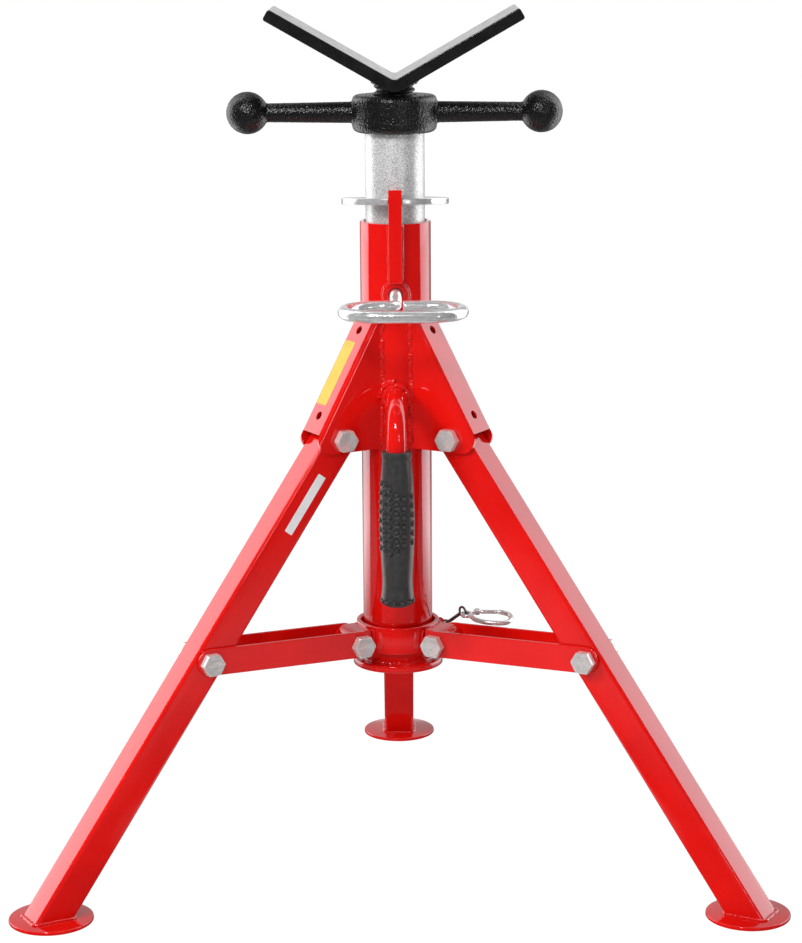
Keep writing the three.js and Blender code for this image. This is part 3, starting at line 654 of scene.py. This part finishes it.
# The dip round each bump: its depth, then its place, width, start and end in shares of the bump's radius
DIP, DIP_AT, DIP_WIDE, DIP_START, DIP_END = 0.75, 1.18, 0.26, 0.75, 1.8
HANDLE_START, HANDLE_IN_GRIP, MOUTH = 26, 8, HANDLE * 1.01


def carry_handle():
    bend = arc((0, HANDLE_BEND - HANDLE_REACH, HANDLE_ROOT - HANDLE_BEND), (0, -1, 0), (0, 0, 1), HANDLE_BEND,
               math.pi / 2, 0, 24)
    end = Vector((0, -HANDLE_REACH, GRIP_TOP - GRIP_LONG + HANDLE_IN_GRIP))
    return tube([Vector((0, -HANDLE_START, HANDLE_ROOT)), *bend, end], HANDLE, 48)


stands_for("carry_handle", carry_handle(), "red_powder_coat", crease=60)


def bump_centres():
    """Each bump's turn round the grip and its height. A turn of zero faces forward."""
    places = []
    for turn, top, bottom in BUMP_ROWS:
        count = round((top - bottom) / BUMP_PITCH)
        places += [(math.radians(turn), top - BUMP_PITCH * i) for i in range(count + 1)]
    return places + [(math.radians(turn), FOOT_BUMP_HEIGHT) for turn in FOOT_BUMPS]


def handle_grip(sides=224, rows=300):
    curve = catmull([(wide, down, 0) for down, wide in GRIP_SHARES], 10)
    heights = []
    for i in range(rows + 1):
        down = i / rows
        k = next((n for n in range(1, len(curve)) if curve[n].y >= down), len(curve) - 1)
        span = max(curve[k].y - curve[k - 1].y, 1e-9)
        share = min(max((down - curve[k - 1].y) / span, 0), 1)
        wide = curve[k - 1].x + (curve[k].x - curve[k - 1].x) * share
        heights.append((wide * GRIP, GRIP_TOP - GRIP_LONG * down))
    places = bump_centres()
    made = []
    for radius, z in heights:
        near = [(turn, height) for turn, height in places if abs(height - z) < DIP_END * BUMP]
        row = []
        for i in range(sides):
            angle = math.tau * i / sides - math.pi
            lift = 0.0
            for turn, height in near:
                away = math.hypot(((angle - turn + math.pi) % math.tau - math.pi) * radius, height - z)
                if away < BUMP:
                    lift += BUMP_PROUD * math.sqrt(max(1 - (away / BUMP) ** 2, 0))
                if DIP_START * BUMP < away < DIP_END * BUMP:
                    lift -= DIP * math.exp(-((away - DIP_AT * BUMP) / (DIP_WIDE * BUMP)) ** 2)
            wide = radius + lift
            row.append((wide * math.sin(angle), -HANDLE_REACH - wide * math.cos(angle), z))
        made.append(row)
    mouth = []
    for x, y, z in made[0]:
        wide = math.hypot(x, y + HANDLE_REACH)
        mouth.append((MOUTH * x / wide, -HANDLE_REACH + MOUTH * (y + HANDLE_REACH) / wide, z))
    return skin([mouth, *made])


stands_for("handle_grip", handle_grip(), "grip_rubber", crease=50)

# One leg's plates, drawn with x outward from the column and y across. CROSS reaches past them all
PIVOT_REACH, PIVOT_HEIGHT = 64.5, 400.5
LEG, LEG_WALL, LEG_CORNER = 30.5, 2.5, 3.5
FOOT_REACH, FOOT, FOOT_THICK, FOOT_INSET = 352.0, 37.1, 3.5, 5.0
LEAN = math.atan2(FOOT_REACH + FOOT_INSET - PIVOT_REACH, PIVOT_HEIGHT)
STRUT_ON_LEG = 230.58
STRUT_REACH = PIVOT_REACH + STRUT_ON_LEG * math.sin(LEAN)
STRUT_HEIGHT = PIVOT_HEIGHT - STRUT_ON_LEG * math.cos(LEAN)
COLLAR, COLLAR_FOOT, COLLAR_HIGH = 38.0, 198.6, 24.6
LUG_REACH, LUG_HEIGHT = 48.5, 208.0
STRUT_LONG = math.hypot(STRUT_REACH - LUG_REACH, STRUT_HEIGHT - LUG_HEIGHT)
STRUT_SLOPE = math.atan2(STRUT_HEIGHT - LUG_HEIGHT, STRUT_REACH - LUG_REACH)
BRACKET_TOP, BRACKET_FOOT, BRACKET_WALL, BRACKET_IN, BRACKET_FOLD = 506.0, 389.0, 3.0, 15.75, 5.5
BRACKET_OUT, BRACKET_RISE, BRACKET_NOSE = BRACKET_IN + BRACKET_WALL, BRACKET_TOP - PIVOT_HEIGHT, 27.3
BRACKET_LEAN = math.atan2(PIVOT_REACH - COLUMN + BRACKET_NOSE, BRACKET_RISE)
MOUTH_RISE, WEB_HOLE, WEB_HOLE_RISES = 6.5, 4.0, (94.5, 21)
BOLT, HOLE, FLATS, HEAD_HIGH, NUT_HIGH, END_LONG = 6.0, 6.3, 18.5, 7.5, 10.0, 2.4
CHAMFER, THREAD, DISH = 0.7, 0.75, 0.45
STRUT_IN, STRUT_WALL, STRUT_END, STRUT_RISE = 15.55, 3.0, 12.2, 1.0
STRUT_WEB, STRUT_WEB_LAP, STRUT_PAST = (20, 78), 1.5, 26
LUG_SHORT, CROSS = 2.7, 40


def cross_hole(reach, height):
    return moved(rod("y", HOLE, -CROSS, CROSS), shift(reach, 0, height))


def bracket():
    drop = BRACKET_TOP - BRACKET_FOOT
    far = COLUMN + drop * math.tan(BRACKET_LEAN)
    walls = prism(fillet([(0, BRACKET_FOOT, 0), (far, BRACKET_FOOT, 12), (COLUMN, BRACKET_TOP, 0),
                          (0, BRACKET_TOP, 0)], 16), -BRACKET_OUT, BRACKET_OUT, "xz")
    deep, run = 106.0, 2 * drop
    inside = BRACKET_FOLD - BRACKET_WALL
    outer = fillet([(-deep, -BRACKET_OUT, 0), (deep, -BRACKET_OUT, BRACKET_FOLD),
                    (deep, BRACKET_OUT, BRACKET_FOLD), (-deep, BRACKET_OUT, 0)], 10)
    inner = fillet([(-deep - PAST, -BRACKET_IN, 0), (deep - BRACKET_WALL, -BRACKET_IN, inside),
                    (deep - BRACKET_WALL, BRACKET_IN, inside), (-deep - PAST, BRACKET_IN, 0)], 8)
    lean = (shift(-deep, 0, 0), spin(-BRACKET_LEAN, "Y"), shift(COLUMN, 0, BRACKET_TOP))
    mouth = box((0, -BRACKET_IN, BRACKET_FOOT - PAST), (2 * far, BRACKET_IN, PIVOT_HEIGHT + MOUTH_RISE))
    holes = [moved(rod("x", WEB_HOLE, -8, 8), spin(-BRACKET_LEAN, "Y"),
                   shift(COLUMN + (BRACKET_RISE - rise) * math.tan(BRACKET_LEAN), 0, PIVOT_HEIGHT + rise))
             for rise in WEB_HOLE_RISES]
    folded = overlap(walls, moved(prism(outer, -run, run), *lean))
    folded = cut(folded, moved(prism(inner, -run - PAST, run + PAST), *lean), mouth)
    within = rod("z", COLUMN - 1.2, 0, COLUMN_TOP, 96)
    return cut(folded, within, cross_hole(PIVOT_REACH, PIVOT_HEIGHT), *holes)


def rounded_box(width, height, corner, steps=8):
    x, y = width / 2, height / 2
    return fillet([(x, y, corner), (-x, y, corner), (-x, -y, corner), (x, -y, corner)], steps)


def leg_tube():
    half = LEG / 2
    length = PIVOT_HEIGHT / math.cos(LEAN) + LEG
    side = [(-half - 0.3, -length), (half + 0.3, -length), *half_circle(0, 0, half + 0.15, 0)]
    bore = rounded_box(LEG - 2 * LEG_WALL, LEG - 2 * LEG_WALL, LEG_CORNER - LEG_WALL)
    square = prism(rounded_box(LEG, LEG, LEG_CORNER), -length, half)
    hollow = cut(square, prism(bore, -length - PAST, half + PAST))
    leaned = moved(overlap(hollow, prism(side, -half - PAST / 2, half + PAST / 2, "xz")), spin(-LEAN, "Y"),
                   shift(PIVOT_REACH, 0, PIVOT_HEIGHT))
    floor = box((0, -LEG, -length), (2 * FOOT_REACH, LEG, FOOT_THICK - 0.2))
    return cut(leaned, floor, cross_hole(PIVOT_REACH, PIVOT_HEIGHT), cross_hole(STRUT_REACH, STRUT_HEIGHT))


def foot():
    return moved(plate(FOOT, 0, FOOT_THICK, 1.0, 1.2, 4, 128), shift(FOOT_REACH, 0, 0))


def strut():
    outline = half_circle(0, STRUT_RISE, STRUT_END, math.pi / 2)
    outline += half_circle(STRUT_LONG, STRUT_RISE, STRUT_END, -math.pi / 2)
    hollow = box((-STRUT_PAST, -STRUT_IN, -STRUT_PAST), (STRUT_LONG + STRUT_PAST, STRUT_IN, STRUT_PAST))
    bottom, wide = STRUT_RISE - STRUT_END, STRUT_IN + STRUT_WEB_LAP
    web = box((STRUT_WEB[0], -wide, bottom), (STRUT_WEB[1], wide, bottom + STRUT_WALL))
    walls = cut(prism(outline, -STRUT_IN - STRUT_WALL, STRUT_IN + STRUT_WALL, "xz"), hollow)
    channel = cut(combine(walls, [web], "UNION"), cross_hole(0, 0), cross_hole(STRUT_LONG, 0))
    return moved(channel, spin(-STRUT_SLOPE, "Y"), shift(LUG_REACH, 0, LUG_HEIGHT))


def collar_lug():
    """A solid block with a round nose."""
    top = COLLAR_FOOT + COLLAR_HIGH - LUG_SHORT
    nose = (top - COLLAR_FOOT) / 2
    root = COLLAR - 1.0
    outline = half_circle(LUG_REACH, COLLAR_FOOT + nose, nose, -math.pi / 2)
    outline += [(root, top), (root, COLLAR_FOOT)]
    return cut(prism(outline, -LEG / 2, LEG / 2, "xz"), cross_hole(LUG_REACH, LUG_HEIGHT))


# Fasteners, drawn along y with the head towards +y
def hexagon(start, end, chamfers):
    """A hexagonal blank with its corners turned off at the ends that chamfers names."""
    radius = FLATS / 2 / math.cos(math.pi / 6)
    outline = [(radius * math.cos(math.pi / 3 * i), radius * math.sin(math.pi / 3 * i)) for i in range(6)]
    blank = prism(outline, start, end, "xz")
    cone = []
    for height, chamfered in ((start, start in chamfers), (end, end in chamfers)):
        inward = 1 if height == start else -1
        if chamfered:
            pair = [(FLATS / 2 + 0.2, height), (radius + 0.2, height + inward * CHAMFER)]
        else:
            pair = [(radius + 0.4, height - inward * 0.5)]
        cone += pair if height == start else pair[::-1]
    return overlap(blank, turned(cone, 72, False, "y"))


def threaded(start, end, pitch=1.75):
    """A bolt's end: grooves a pitch apart and a small chamfer."""
    step = 1 if end > start else -1
    profile = [(BOLT, start)]
    at = start + step * 0.4
    while step * (end - at) > 1.2:
        profile += [(BOLT, at), (BOLT - THREAD, at + step * pitch / 2), (BOLT, at + step * pitch)]
        at += step * pitch
    profile += [(BOLT, end - step * 0.8), (BOLT - 0.9, end)]
    return turned(profile, 40, False, "y")


def bolt_head(seat):
    """A hexagon with a shallow round dish, so a narrow rim stands round its face."""
    top = seat + HEAD_HIGH
    dish = turned([(FLATS / 2 - 2.4, top - DISH), (FLATS / 2 - 1.2, top + 0.15)], 48, False, "y")
    return cut(hexagon(seat, top, (top,)), dish)


def bolt(seat):
    """A whole bolt: its head, its shank through the plates and its threaded end."""
    nut_end = -seat - NUT_HIGH
    shank = rod("y", BOLT, nut_end + 1, seat + 1)
    return joined(bolt_head(seat), shank, threaded(nut_end + 1, nut_end - END_LONG))


def nut(seat):
    blank = hexagon(-seat - NUT_HIGH, -seat, (-seat - NUT_HIGH, -seat))
    return cut(blank, rod("y", BOLT - 0.2, -seat - 20, 0, 32))


SPOKES = {"left": (-150, 1), "right": (-30, -1), "rear": (90, 1)}
PIVOT_SEAT, STRUT_SEAT = BRACKET_OUT + 0.1, STRUT_IN + STRUT_WALL + 0.1


def weld_paths():
    """Each weld of one leg's plates: name, body suffix, path, radius and whether it closes."""
    contact = math.sqrt(COLUMN ** 2 - BRACKET_OUT ** 2)
    paths = []
    for side in (-1, 1):
        at = (contact - 0.8, side * (BRACKET_OUT - 1.3))
        line = straight((*at, BRACKET_FOOT + 4), (*at, BRACKET_TOP - 4))
        paths.append(("bracket_weld_" + "ab"[side > 0], "stand", line, 3.0, False))
    half = LEG / 2 + 0.5
    at = PIVOT_REACH + (PIVOT_HEIGHT - FOOT_THICK) * math.tan(LEAN)
    deep = half / math.cos(LEAN)
    loop = [(at + x, y, FOOT_THICK + 0.3) for x, y in rounded_box(2 * deep, 2 * half, LEG_CORNER + 1, 5)]
    smooth = []
    for start, end in zip(loop, loop[1:] + loop[:1]):
        smooth += straight(start, end, 1.2)[:-1]
    paths.append(("foot_weld", "leg", smooth, 1.8, True))
    top = COLLAR_FOOT + COLLAR_HIGH - 3.2
    for side in (-1, 1):
        y = side * (LEG / 2 + 0.4)
        x = math.sqrt(COLLAR ** 2 - y ** 2) + 0.3
        line = straight((x, y, COLLAR_FOOT + 0.8), (x, y, top))
        paths.append(("lug_weld_" + "ab"[side > 0], "collar", line, 1.7, False))
    return paths


for side, (azimuth, bolt_side) in SPOKES.items():
    spoke = spin(math.radians(azimuth), "Z")
    turn = spin(0 if bolt_side > 0 else math.pi, "Z")

    def bolted(suffix, shape, reach, height, spoke=spoke, turn=turn, side=side):
        stands_for(side + suffix, shape, "bolt_steel", spoke @ shift(reach, 0, height) @ turn, edge=0.4)

    for suffix, maker, edge in (("_bracket", bracket, 0.5), ("_leg", leg_tube, 0.35), ("_foot", foot, 0),
                                ("_strut", strut, 0.7), ("_lug", collar_lug, 0.6)):
        stands_for(side + suffix, maker(), "red_powder_coat", spoke, edge=edge)
    for name, body, path, radius, closed in weld_paths():
        body = side + "_leg" if body == "leg" else body
        weld = bead(path, radius, closed, azimuth)
        fit(f"{side}_{name}", weld, body, "red_powder_coat", place=spoke, crease=80)
    bolted("_pivot_bolt", bolt(PIVOT_SEAT), PIVOT_REACH, PIVOT_HEIGHT)
    bolted("_pivot_nut", nut(PIVOT_SEAT), PIVOT_REACH, PIVOT_HEIGHT)
    bolted("_collar_bolt", bolt(STRUT_SEAT), LUG_REACH, LUG_HEIGHT)
    bolted("_collar_nut", nut(STRUT_SEAT), LUG_REACH, LUG_HEIGHT)
    stub = LEG / 2 + 0.3
    bolted("_strut_bolt_head", joined(bolt_head(STRUT_SEAT), rod("y", BOLT, stub, STRUT_SEAT + 1)),
           STRUT_REACH, STRUT_HEIGHT)
    bolted("_strut_bolt_nut", joined(nut(STRUT_SEAT), threaded(-stub, -STRUT_SEAT - NUT_HIGH - END_LONG)),
           STRUT_REACH, STRUT_HEIGHT)
    bolted("_strut_bolt_shank", rod("y", BOLT, 0.3 - LEG / 2, LEG / 2 - 0.3), STRUT_REACH, STRUT_HEIGHT)

stands_for("slider_collar", ring(COLUMN + 2.45, COLLAR, COLLAR_FOOT, COLLAR_FOOT + COLLAR_HIGH, 0.9, 144),
           "red_powder_coat")


# Welds on the column
def on_column(x):
    return -math.sqrt(COLUMN ** 2 - x ** 2)


def ring_on_column(radius, height, count):
    turns = [math.tau * i / count for i in range(count)]
    across = [radius * math.cos(turn) for turn in turns]
    return [(x, on_column(x) - 0.2, height + radius * math.sin(turn)) for x, turn in zip(across, turns)]


def column_weld(name, path, radius, closed, seed=0.0):
    fit(name, bead(path, radius, closed, seed), "stand", "red_powder_coat", crease=80)


GUIDE_WELD_FOOT, GUIDE_WELD_TOP = 541, 589
for side in (-1, 1):
    at = (side * (BAR_HALF + 0.3), on_column(BAR_HALF) - 0.1)
    line = straight((*at, GUIDE_WELD_FOOT), (*at, GUIDE_WELD_TOP))
    column_weld("guide_weld_" + "ab"[side > 0], line, 1.1, False, side)
column_weld("boss_weld", ring_on_column(BOSS + 0.4, PIN_HEIGHT, 60), 1.0, True)
column_weld("handle_weld", ring_on_column(HANDLE + 1.0, HANDLE_ROOT, 72), 3.4, True, 4)
column_weld("handle_weld_patch", ring_on_column(HANDLE + 5.5, HANDLE_ROOT, 90)[24:46], 3.2, False, 9)
flange_weld = [((COLUMN + 0.4) * math.cos(math.tau * i / 150), (COLUMN + 0.4) * math.sin(math.tau * i / 150),
                FLANGE_FOOT + FLANGE_THICK + 0.2) for i in range(150)]
column_weld("flange_weld", flange_weld, 1.7, True, 7)


# Tether: eye, link and snap clip
EYE_TURN = math.radians(25)
EYE_OUT = Vector((math.cos(EYE_TURN), math.sin(EYE_TURN), 0))
EYE_REACH = COLLAR + 4.0
EYE = EYE_OUT * EYE_REACH + Vector((0, 0, COLLAR_FOOT + 14.9))
EYE_RADIUS, EYE_HOLE, EYE_THICK = 5.3, 2.6, 2.4
LINK_WIRE, LINK_LOOP, LINK_SHIFT = 1.1, 4.8, 0.9
CLIP = Vector((63.165, -11.05, 229.103))
ON_STRUT = spin(math.radians(-30), "Z") @ spin(-STRUT_SLOPE, "Y")
CLIP_TURN = (ON_STRUT @ spin(math.radians(18.36), "Z") @ spin(math.radians(5.55), "Y")
             @ spin(math.radians(14.2), "X"))
CLIP_PLACE = Matrix.Translation(CLIP) @ CLIP_TURN
CLIP_EYE, CLIP_EYE_THICK, CLIP_LONG, CLIP_HALF, CLIP_BAR = 5.4, 2.8, 41.5, 10.5, 2.2
GATE_BAR, GATE_TONGUE, KNUCKLE, GATE_PIN, CLIP_THICK = 1.9, 1.6, 3.0, 0.9, 4.4


def tether_eye():
    outline = [*half_circle(0, 0, EYE_RADIUS, -math.pi / 2, 20), (-5, EYE_RADIUS), (-5, -EYE_RADIUS)]
    blank = prism(outline, -EYE_THICK / 2, EYE_THICK / 2, "xz")
    return moved(cut(blank, rod("y", EYE_HOLE, -4, 4, 32)), spin(EYE_TURN, "Z"), Matrix.Translation(EYE))


stands_for("tether_eye", tether_eye(), "red_powder_coat", edge=0.5)


def loop_of(centre, across, along, radius, wire):
    return tube(arc(centre, across, along, radius, 0, math.tau * 39 / 40, 39), wire, 16, True)


def tether_link():
    first = EYE + EYE_OUT * (LINK_SHIFT + LINK_LOOP)
    normal = CLIP_TURN.to_3x3() @ Vector((0, 0, 1))
    away = CLIP - first
    within = (away - normal * away.dot(normal)).normalized()
    last = CLIP - within * (LINK_SHIFT + LINK_LOOP)
    run = (last - first).normalized()
    level = Vector((run.x, run.y, 0)).normalized()
    shank = straight(first + level * (LINK_LOOP - 0.4), last - run * (LINK_LOOP - 0.4), 1.0)
    coil = [0.45 * math.sin(i * 1.6) for i in range(len(shank))]
    sizes = [LINK_WIRE * 1.5 + 0.3 * wave for wave in coil]
    return joined(loop_of(last, within, normal, LINK_LOOP, LINK_WIRE),
                  loop_of(first, (1, 0, 0), (0, 1, 0), LINK_LOOP, LINK_WIRE), tube(shank, sizes, 14))


stands_for("tether_link", tether_link(), "dark_steel", crease=60)

# The clip's bent rod, in shares of its length and half its width, drawn flat round the knuckle's axis
SPINE = [(0.1, -0.2), (0.22, -0.72), (0.42, -1), (0.7, -1), (0.92, -0.72), (1, 0), (0.92, 0.72), (0.76, 0.98),
         (0.68, 1)]
KNUCKLE_SHARES, UP = (0.2, 0.66), (0, 0, 1)


def clip_point(along, across):
    return Vector((along * CLIP_LONG, across * CLIP_HALF, 0))


knuckle, nose = clip_point(*KNUCKLE_SHARES), clip_point(*SPINE[-1])
gate_line = (nose - knuckle).normalized()


def disc(radius, thick, centre, edge=0.4):
    return moved(plate(radius, -thick / 2, thick / 2, edge, edge, 3, 40), Matrix.Translation(centre))


def clip_body():
    spine = catmull([clip_point(*share) for share in SPINE], 6)
    arm = straight(knuckle.normalized() * (CLIP_EYE - CLIP_BAR), knuckle, 1)
    eye = cut(disc(CLIP_EYE, CLIP_EYE_THICK, Vector(), 0.9), rod("z", EYE_HOLE, -5, 5, 32))
    slot = rod("z", KNUCKLE + 0.3, -GATE_TONGUE / 2 - 0.3, GATE_TONGUE / 2 + 0.3, 32)
    fork = cut(disc(KNUCKLE, CLIP_THICK, knuckle), moved(slot, Matrix.Translation(knuckle)))
    return joined(eye, fork, tube(spine, CLIP_BAR, 20, flat=UP), tube(arm, CLIP_BAR * 0.85, 20, flat=UP))


stands_for("clip_body", clip_body(), "bright_zinc", CLIP_PLACE, crease=60)
gate_path = straight(knuckle + gate_line * (KNUCKLE - 1.6), nose - gate_line * 0.8, 1)
gate_sizes = [GATE_BAR * (0.55 + 0.45 * min(1, i / 3)) for i in range(len(gate_path))]
gate = joined(tube(gate_path, gate_sizes, 20, flat=UP), disc(KNUCKLE - 0.3, GATE_TONGUE, knuckle, 0.2))
stands_for("clip_gate", gate, "bright_zinc", CLIP_PLACE, crease=60)
stands_for("clip_gate_pin", disc(GATE_PIN, CLIP_THICK + 0.3, knuckle, 0.3), "bright_zinc", CLIP_PLACE)


# Plain labels
def label(name, body, slot, place, start, end, thick=0.15, corner=0.8):
    corners = ((start[0], start[1]), (end[0], start[1]), (end[0], end[1]), (start[0], end[1]))
    outline = fillet([(x, y, corner) for x, y in corners], 4)
    fit(name, prism(outline, 0, thick), body, slot, place=place)


left = spin(math.radians(SPOKES["left"][0]), "Z")
web = left @ shift(COLUMN, 0, BRACKET_TOP) @ spin(math.pi / 2 - BRACKET_LEAN, "Y")
label("bracket_label", "stand", "label_yellow", web, (24.4, -14.0), (86.8, 3.6))
leg_side = left @ shift(PIVOT_REACH, LEG / 2 + 0.02, PIVOT_HEIGHT)
leg_side = leg_side @ spin(-LEAN, "Y") @ spin(-math.pi / 2, "X")
label("leg_label", "left_leg", "label_white", leg_side, (-5.2, 37.0), (3.2, 96.5))


# Floor, world and lamps
FLOOR_HALF, FLOOR_THICK = 30, 0.02
WHITE, SEEN_SHARE, AMBIENT = 1.09, 0.90, 0.42


def maths(tree, operation, *values):
    """A maths node. Each value is a number or another node's output."""
    made = node(tree, "ShaderNodeMath", operation=operation)
    for socket, value in zip(made.inputs, values):
        if isinstance(value, (int, float)):
            socket.default_value = value
        else:
            tree.links.new(value, socket)
    return made.outputs[0]


def studio(tree, way, front, middle, sides, above=1.0, back_end=1.0):
    """The strength that shiny surfaces see along a direction: bright behind the object and at its sides.

    above is the share that is left of the middle part higher up, and back_end the share straight behind.
    """
    split = node(tree, "ShaderNodeSeparateXYZ")
    tree.links.new(way, split.inputs[0])
    x, y, z = split.outputs
    squares = maths(tree, "ADD", maths(tree, "MULTIPLY", x, x), maths(tree, "MULTIPLY", y, y))
    plan = maths(tree, "SQRT", squares)
    across = maths(tree, "DIVIDE", x, plan)
    back = maths(tree, "ADD", maths(tree, "DIVIDE", y, plan), maths(tree, "MULTIPLY", across, 0.095))
    behind = maths(tree, "MULTIPLY", mapped(tree, back, 0.0, 1.0, 0.03, 0.07),
                   mapped(tree, back, 1.0, back_end, 0.76, 0.86))
    aside = mapped(tree, maths(tree, "ABSOLUTE", across), 0.0, sides, 0.45, 0.95)
    centre = mapped(tree, z, middle, middle * above, 0.12, 0.2)
    return maths(tree, "MULTIPLY_ADD", behind, maths(tree, "ADD", aside, centre), front)


def distance_from(tree, place, centre):
    made = node(tree, "ShaderNodeVectorMath", operation="DISTANCE")
    tree.links.new(place, made.inputs[0])
    made.inputs[1].default_value = centre
    return made.outputs["Value"]


def floor_material():
    """A pale floor that takes shadows, and that shiny surfaces see bright only in a few places."""
    material = bpy.data.materials.new("floor")
    material.use_nodes = True
    tree = material.node_tree
    shader = tree.nodes["Principled BSDF"]
    shader.inputs["Base Color"].default_value = (0.9, 0.9, 0.9, 1)
    shader.inputs["Roughness"].default_value = 0.8
    shader.inputs["Specular IOR Level"].default_value = 0.1
    rays = node(tree, "ShaderNodeLightPath")
    place = node(tree, "ShaderNodeTexCoord").outputs["Object"]
    near_pin = mapped(tree, distance_from(tree, place, (0, -0.22, 0)), 0.8, 0.0, 0.08, 0.18)
    away = distance_from(tree, place, (0, 0, 0))
    rising, falling = mapped(tree, away, 0.04, 0.30, 0.42, 0.72), mapped(tree, away, 0.30, 0.04, 0.85, 1.4)
    around = maths(tree, "MINIMUM", rising, falling)
    beyond = maths(tree, "MULTIPLY", studio(tree, place, 0.0, 0.75, 1.75, 1.0, 0.25),
                   mapped(tree, away, 0.15, 1.0, 0.55, 0.95))
    shiny = maths(tree, "ADD", beyond, maths(tree, "MAXIMUM", near_pin, around))
    glossy = rays.outputs["Is Glossy Ray"]
    strength = maths(tree, "MULTIPLY_ADD", glossy, maths(tree, "SUBTRACT", shiny, WHITE), WHITE)
    glow = node(tree, "ShaderNodeEmission")
    glow.inputs["Color"].default_value = (1, 1, 1, 1)
    tree.links.new(strength, glow.inputs["Strength"])
    seen = maths(tree, "MULTIPLY_ADD", rays.outputs["Is Camera Ray"], SEEN_SHARE, glossy)
    mix = node(tree, "ShaderNodeMixShader")
    tree.links.new(seen, mix.inputs[0])
    tree.links.new(shader.outputs[0], mix.inputs[1])
    tree.links.new(glow.outputs[0], mix.inputs[2])
    tree.links.new(mix.outputs[0], tree.nodes["Material Output"].inputs["Surface"])
    return material


def add_stage():
    shape = box((-FLOOR_HALF, -FLOOR_HALF, -FLOOR_THICK), (FLOOR_HALF, FLOOR_HALF, 0))
    shape.materials.append(floor_material())
    floor = bpy.data.objects.new("floor", shape)
    bpy.context.scene.collection.objects.link(floor)


def add_world():
    world = bpy.data.worlds.new("studio")
    bpy.context.scene.world = world
    world.use_nodes = True
    tree = world.node_tree
    tree.nodes.clear()
    rays = node(tree, "ShaderNodeLightPath")
    way = node(tree, "ShaderNodeTexCoord").outputs["Generated"]
    backgrounds = []
    for strength in (AMBIENT, studio(tree, way, 0.05, 1.0, 2.1, 0.4), 1.0):
        made = node(tree, "ShaderNodeBackground")
        made.inputs["Color"].default_value = (1, 1, 1, 1)
        if isinstance(strength, float):
            made.inputs["Strength"].default_value = strength
        else:
            tree.links.new(strength, made.inputs["Strength"])
        backgrounds.append(made.outputs[0])
    seen = maths(tree, "MAXIMUM", rays.outputs["Is Camera Ray"], rays.outputs["Is Transmission Ray"])
    shown = backgrounds[0]
    for factor, other in ((rays.outputs["Is Glossy Ray"], backgrounds[1]), (seen, backgrounds[2])):
        mix = node(tree, "ShaderNodeMixShader")
        tree.links.new(factor, mix.inputs[0])
        tree.links.new(shown, mix.inputs[1])
        tree.links.new(other, mix.inputs[2])
        shown = mix.outputs[0]
    tree.links.new(shown, node(tree, "ShaderNodeOutputWorld").inputs["Surface"])


def lamp(name, place, target, size, power, in_reflections=True):
    data = bpy.data.lights.new(name, "AREA")
    data.shape, data.size, data.size_y, data.energy = "RECTANGLE", size[0], size[1], power
    made = bpy.data.objects.new(name, data)
    bpy.context.scene.collection.objects.link(made)
    made.location = place
    made.rotation_euler = (Vector(target) - Vector(place)).to_track_quat("-Z", "Y").to_euler()
    made.visible_glossy = in_reflections


add_stage()
add_world()
lamp("key lamp", (-2.3, -1.3, 1.9), (0, 0, 0.4), (1.0, 1.0), 56, False)
lamp("right lamp", (2.3, -1.0, 1.9), (0, 0, 0.4), (1.0, 1.0), 10, False)
lamp("front lamp", (-0.55, -2.1, 1.9), (0, 0, 0.4), (0.42, 0.34), 18)
lamp("strip lamp", (1.05, -2.35, 0.8), (0, 0, 0.5), (0.12, 0.6), 2.5)

scene = bpy.context.scene
scene.view_settings.view_transform = "Standard"
